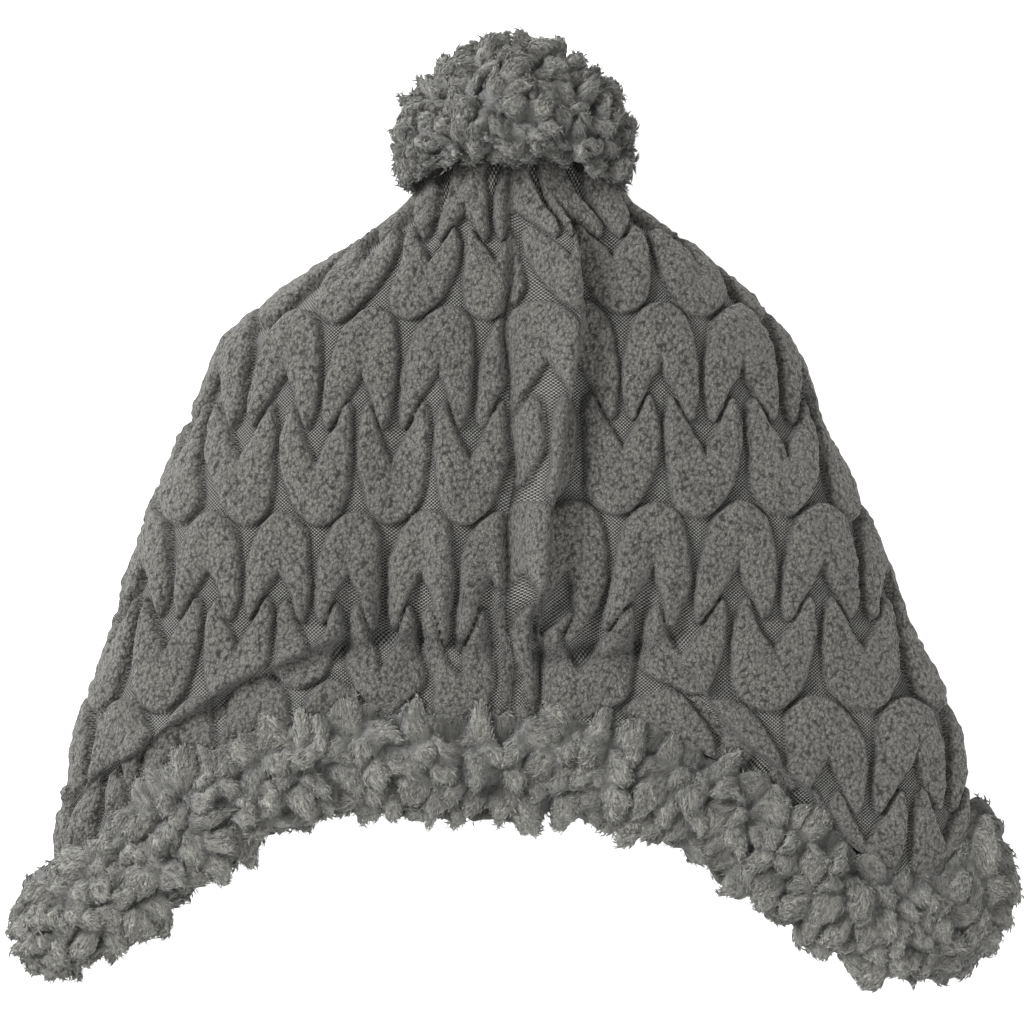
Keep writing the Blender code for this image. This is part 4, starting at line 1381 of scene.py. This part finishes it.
class HatStage(bpy.types.PropertyGroup):
    """The floor, the lights and the camera"""

    floor_colour: bpy.props.FloatVectorProperty(
        name="Floor colour", description="Colour of the floor", subtype="COLOR", size=4,
        default=(0.90, 0.90, 0.90, 1.0), min=0.0, max=1.0,
    )
    view_width: bpy.props.FloatProperty(
        name="View width", description="Width of the floor in the camera", default=0.2765, unit="LENGTH",
    )
    camera_height: bpy.props.FloatProperty(
        name="Camera height", description="Height of the camera over the floor", default=2.6, unit="LENGTH",
    )
    key_power: bpy.props.FloatProperty(
        name="Key light", description="Power of the main light", default=23.5, unit="POWER",
    )
    fill_power: bpy.props.FloatProperty(
        name="Fill light", description="Power of the overhead light", default=9.0, unit="POWER",
    )
    low_power: bpy.props.FloatProperty(
        name="Low light", description="Power of the light beside the flaps", default=2.5, unit="POWER",
    )


class HAT_OT_fleece_panels(bpy.types.Operator):
    """Makes both embossed fleece panels of the hat"""

    bl_idname = "hat.fleece_panels"
    bl_label = "Fleece panels"

    def execute(self, context):
        material = fleece_material()
        for side in (-1, 1):
            fleece_panel(side, material)
        return {"FINISHED"}


class HAT_OT_plush_border(bpy.types.Operator):
    """Makes the curly plush border round the mouth, and the loose fibres on it"""

    bl_idname = "hat.plush_border"
    bl_label = "Plush border"

    def execute(self, context):
        look = context.scene.hat_plush
        material = plush_material("border_wool", 1.0)
        points, triangles = node_surface("plush_border")
        chance = np.random.default_rng(21)
        normals = vertex_normals(points, triangles)
        crown = crown_tree()
        roots, facing = spread_roots(points, triangles, normals, look.lump_spacing, chance, 20000)
        away, outward = distances(crown, roots)
        towards = np.where(away < 0.0045, -1.0, 1.0)[:, None]
        ways = along_surface(outward * towards, facing) + chance.normal(0, 0.80, facing.shape)
        lumps = make_lumps(roots, facing, ways, look, 1.0, chance)
        level = 0.50 + 0.50 * smooth_step(*LEVEL_FROM_TO, facing[:, 2])
        lumps["height"] = lumps["height"] * smooth_step(-0.003, 0.001, away) * level
        fine, quads = fine_surface(points, triangles, look.border_grain, 60)
        away, outward = distances(crown, fine)
        sink = look.lump_sink * (0.15 + 0.85 * smooth_step(0.0, 0.005, away))
        sink = sink * (0.45 + 0.55 * smooth_step(*LEVEL_FROM_TO, vertex_normals(fine, quads)[:, 2]))
        moved, wool, body = lump_surface(fine, quads, lumps, look, 1.0, sink)
        ragged = look.overhang * np.clip(1 + 0.9 * noise("overhang", fine), 0.2, None)
        moved -= outward * (ragged * (1 - smooth_step(0.0005, 0.006, away)))[:, None]
        beside = smooth_step(*PEEP_ACROSS, moved[:, 0]) * smooth_step(*PEEP_UP, moved[:, 1])
        moved[:, 1] += look.peep * beside
        moved[:, 2] *= 1 - 0.30 * beside
        fibres = loose_fibres(moved, quads, wool, body["tip"], look.border_wisps, look, chance)
        for name, part in (("border_wool", body), ("border_fibres", fibres)):
            piece = add_wool(name, [part], material, "plush_border")
        return {"FINISHED"}


class HAT_OT_pompom(bpy.types.Operator):
    """Makes the curly plush pompom at the nose of the crown"""

    bl_idname = "hat.pompom"
    bl_label = "Pompom"

    def execute(self, context):
        look = context.scene.hat_plush
        # Painted shade: the pompom's wool is the border's wool made darker, a shaded copy of the same wool
        material = plush_material("pompom_wool", 0.76)
        points, triangles = node_surface("pompom")
        chance = np.random.default_rng(5)
        normals = vertex_normals(points, triangles)
        size = look.pompom_lump
        spacing = look.pompom_narrow**0.5 * size * look.lump_spacing
        roots, facing = spread_roots(points, triangles, normals, spacing, chance, 16000)
        ways = 0.8 * along_surface(roots - POMPOM_FOOT, facing) + chance.normal(0, 0.42, facing.shape)
        lumps = make_lumps(roots, facing, ways, look, size, chance)
        fine, quads = fine_surface(points, triangles, look.pompom_grain, 20)
        away = distances(crown_tree(), fine)[0]
        sink = size * look.lump_sink * (1.14 + 0.8 * (1 - smooth_step(0.003, 0.012, away)))
        moved, wool, body = lump_surface(fine, quads, lumps, look, size, sink)
        fibres = loose_fibres(moved, quads, wool, body["tip"], look.pompom_wisps, look, chance)
        piece = add_wool("pompom_wool", [body, fibres], material, "pompom")
        return {"FINISHED"}


class HAT_OT_stage(bpy.types.Operator):
    """Makes the pale floor, the soft lights and the camera above the hat"""

    bl_idname = "hat.stage"
    bl_label = "Stage"

    def execute(self, context):
        look = context.scene.hat_stage
        collection = context.scene.collection
        size = 40.0
        mesh = bpy.data.meshes.new("floor")
        corners = [(-size, -size, 0.0), (size, -size, 0.0), (size, size, 0.0), (-size, size, 0.0)]
        mesh.from_pydata(corners, [], [(0, 1, 2, 3)])
        material, shader = shader_of("floor_paper")
        shader.inputs["Base Color"].default_value = look.floor_colour
        shader.inputs["Roughness"].default_value = 0.9
        shader.inputs["Specular IOR Level"].default_value = 0.1
        shader.inputs["Emission Color"].default_value = look.floor_colour
        shader.inputs["Emission Strength"].default_value = 0.9
        mesh.materials.append(material)
        floor = bpy.data.objects.new("floor", mesh)
        floor.location.z = -0.0004
        collection.objects.link(floor)
        for name, place, width, power in (
            ("key_light", (-0.85, 0.55, 1.15), 0.6, look.key_power),
            ("fill_light", (0.25, -0.15, 1.8), 2.4, look.fill_power),
            ("low_light", (0.34, -0.62, 0.46), 0.5, look.low_power),
        ):
            data = bpy.data.lights.new(name, "AREA")
            data.shape = "DISK"
            data.size = width
            data.energy = power
            light = bpy.data.objects.new(name, data)
            light.location = place
            light.rotation_euler = (-Vector(place)).to_track_quat("-Z", "Y").to_euler()
            collection.objects.link(light)
        world = bpy.data.worlds.new("studio")
        world.use_nodes = True
        background = world.node_tree.nodes["Background"]
        background.inputs["Color"].default_value = (1.0, 1.0, 1.0, 1.0)
        background.inputs["Strength"].default_value = 0.31
        context.scene.world = world
        context.scene.view_settings.view_transform = "Standard"
        data = bpy.data.cameras.new("camera")
        data.sensor_width = 36.0
        data.lens = data.sensor_width * look.camera_height / look.view_width
        data.clip_start, data.clip_end = 0.1, 100.0
        camera = bpy.data.objects.new("camera", data)
        camera.location = (0.0, 0.0, look.camera_height)
        collection.objects.link(camera)
        context.scene.camera = camera
        return {"FINISHED"}


class HAT_PT_pieces(bpy.types.Panel):
    """The hat's pieces and their sizes"""

    bl_idname = "HAT_PT_pieces"
    bl_label = "Baby hat"
    bl_space_type = "VIEW_3D"
    bl_region_type = "UI"
    bl_category = "Hat"

    def draw(self, context):
        groups = (
            (HAT_OT_fleece_panels, context.scene.hat_fleece),
            (HAT_OT_plush_border, context.scene.hat_plush),
            (HAT_OT_pompom, None),
            (HAT_OT_stage, context.scene.hat_stage),
        )
        for operator, look in groups:
            box = self.layout.box()
            box.operator(operator.bl_idname)
            if look is not None:
                for name in look.__annotations__:
                    box.prop(look, name)


CLASSES = (
    HatFleece,
    HatPlush,
    HatStage,
    HAT_OT_fleece_panels,
    HAT_OT_plush_border,
    HAT_OT_pompom,
    HAT_OT_stage,
    HAT_PT_pieces,
)


def register():
    """Adds the hat's classes and its sizes to the program."""
    for made in CLASSES:
        bpy.utils.register_class(made)
    bpy.types.Scene.hat_fleece = bpy.props.PointerProperty(type=HatFleece)
    bpy.types.Scene.hat_plush = bpy.props.PointerProperty(type=HatPlush)
    bpy.types.Scene.hat_stage = bpy.props.PointerProperty(type=HatStage)


def unregister():
    """Takes them out again."""
    del bpy.types.Scene.hat_stage
    del bpy.types.Scene.hat_plush
    del bpy.types.Scene.hat_fleece
    for made in reversed(CLASSES):
        bpy.utils.unregister_class(made)


def main():
    """Makes the hat and its stage; the wool pieces print their triangle counts."""
    register()
    bpy.ops.hat.stage()
    bpy.ops.hat.fleece_panels()
    bpy.ops.hat.plush_border()
    bpy.ops.hat.pompom()


if __name__ == "__main__":
    main()
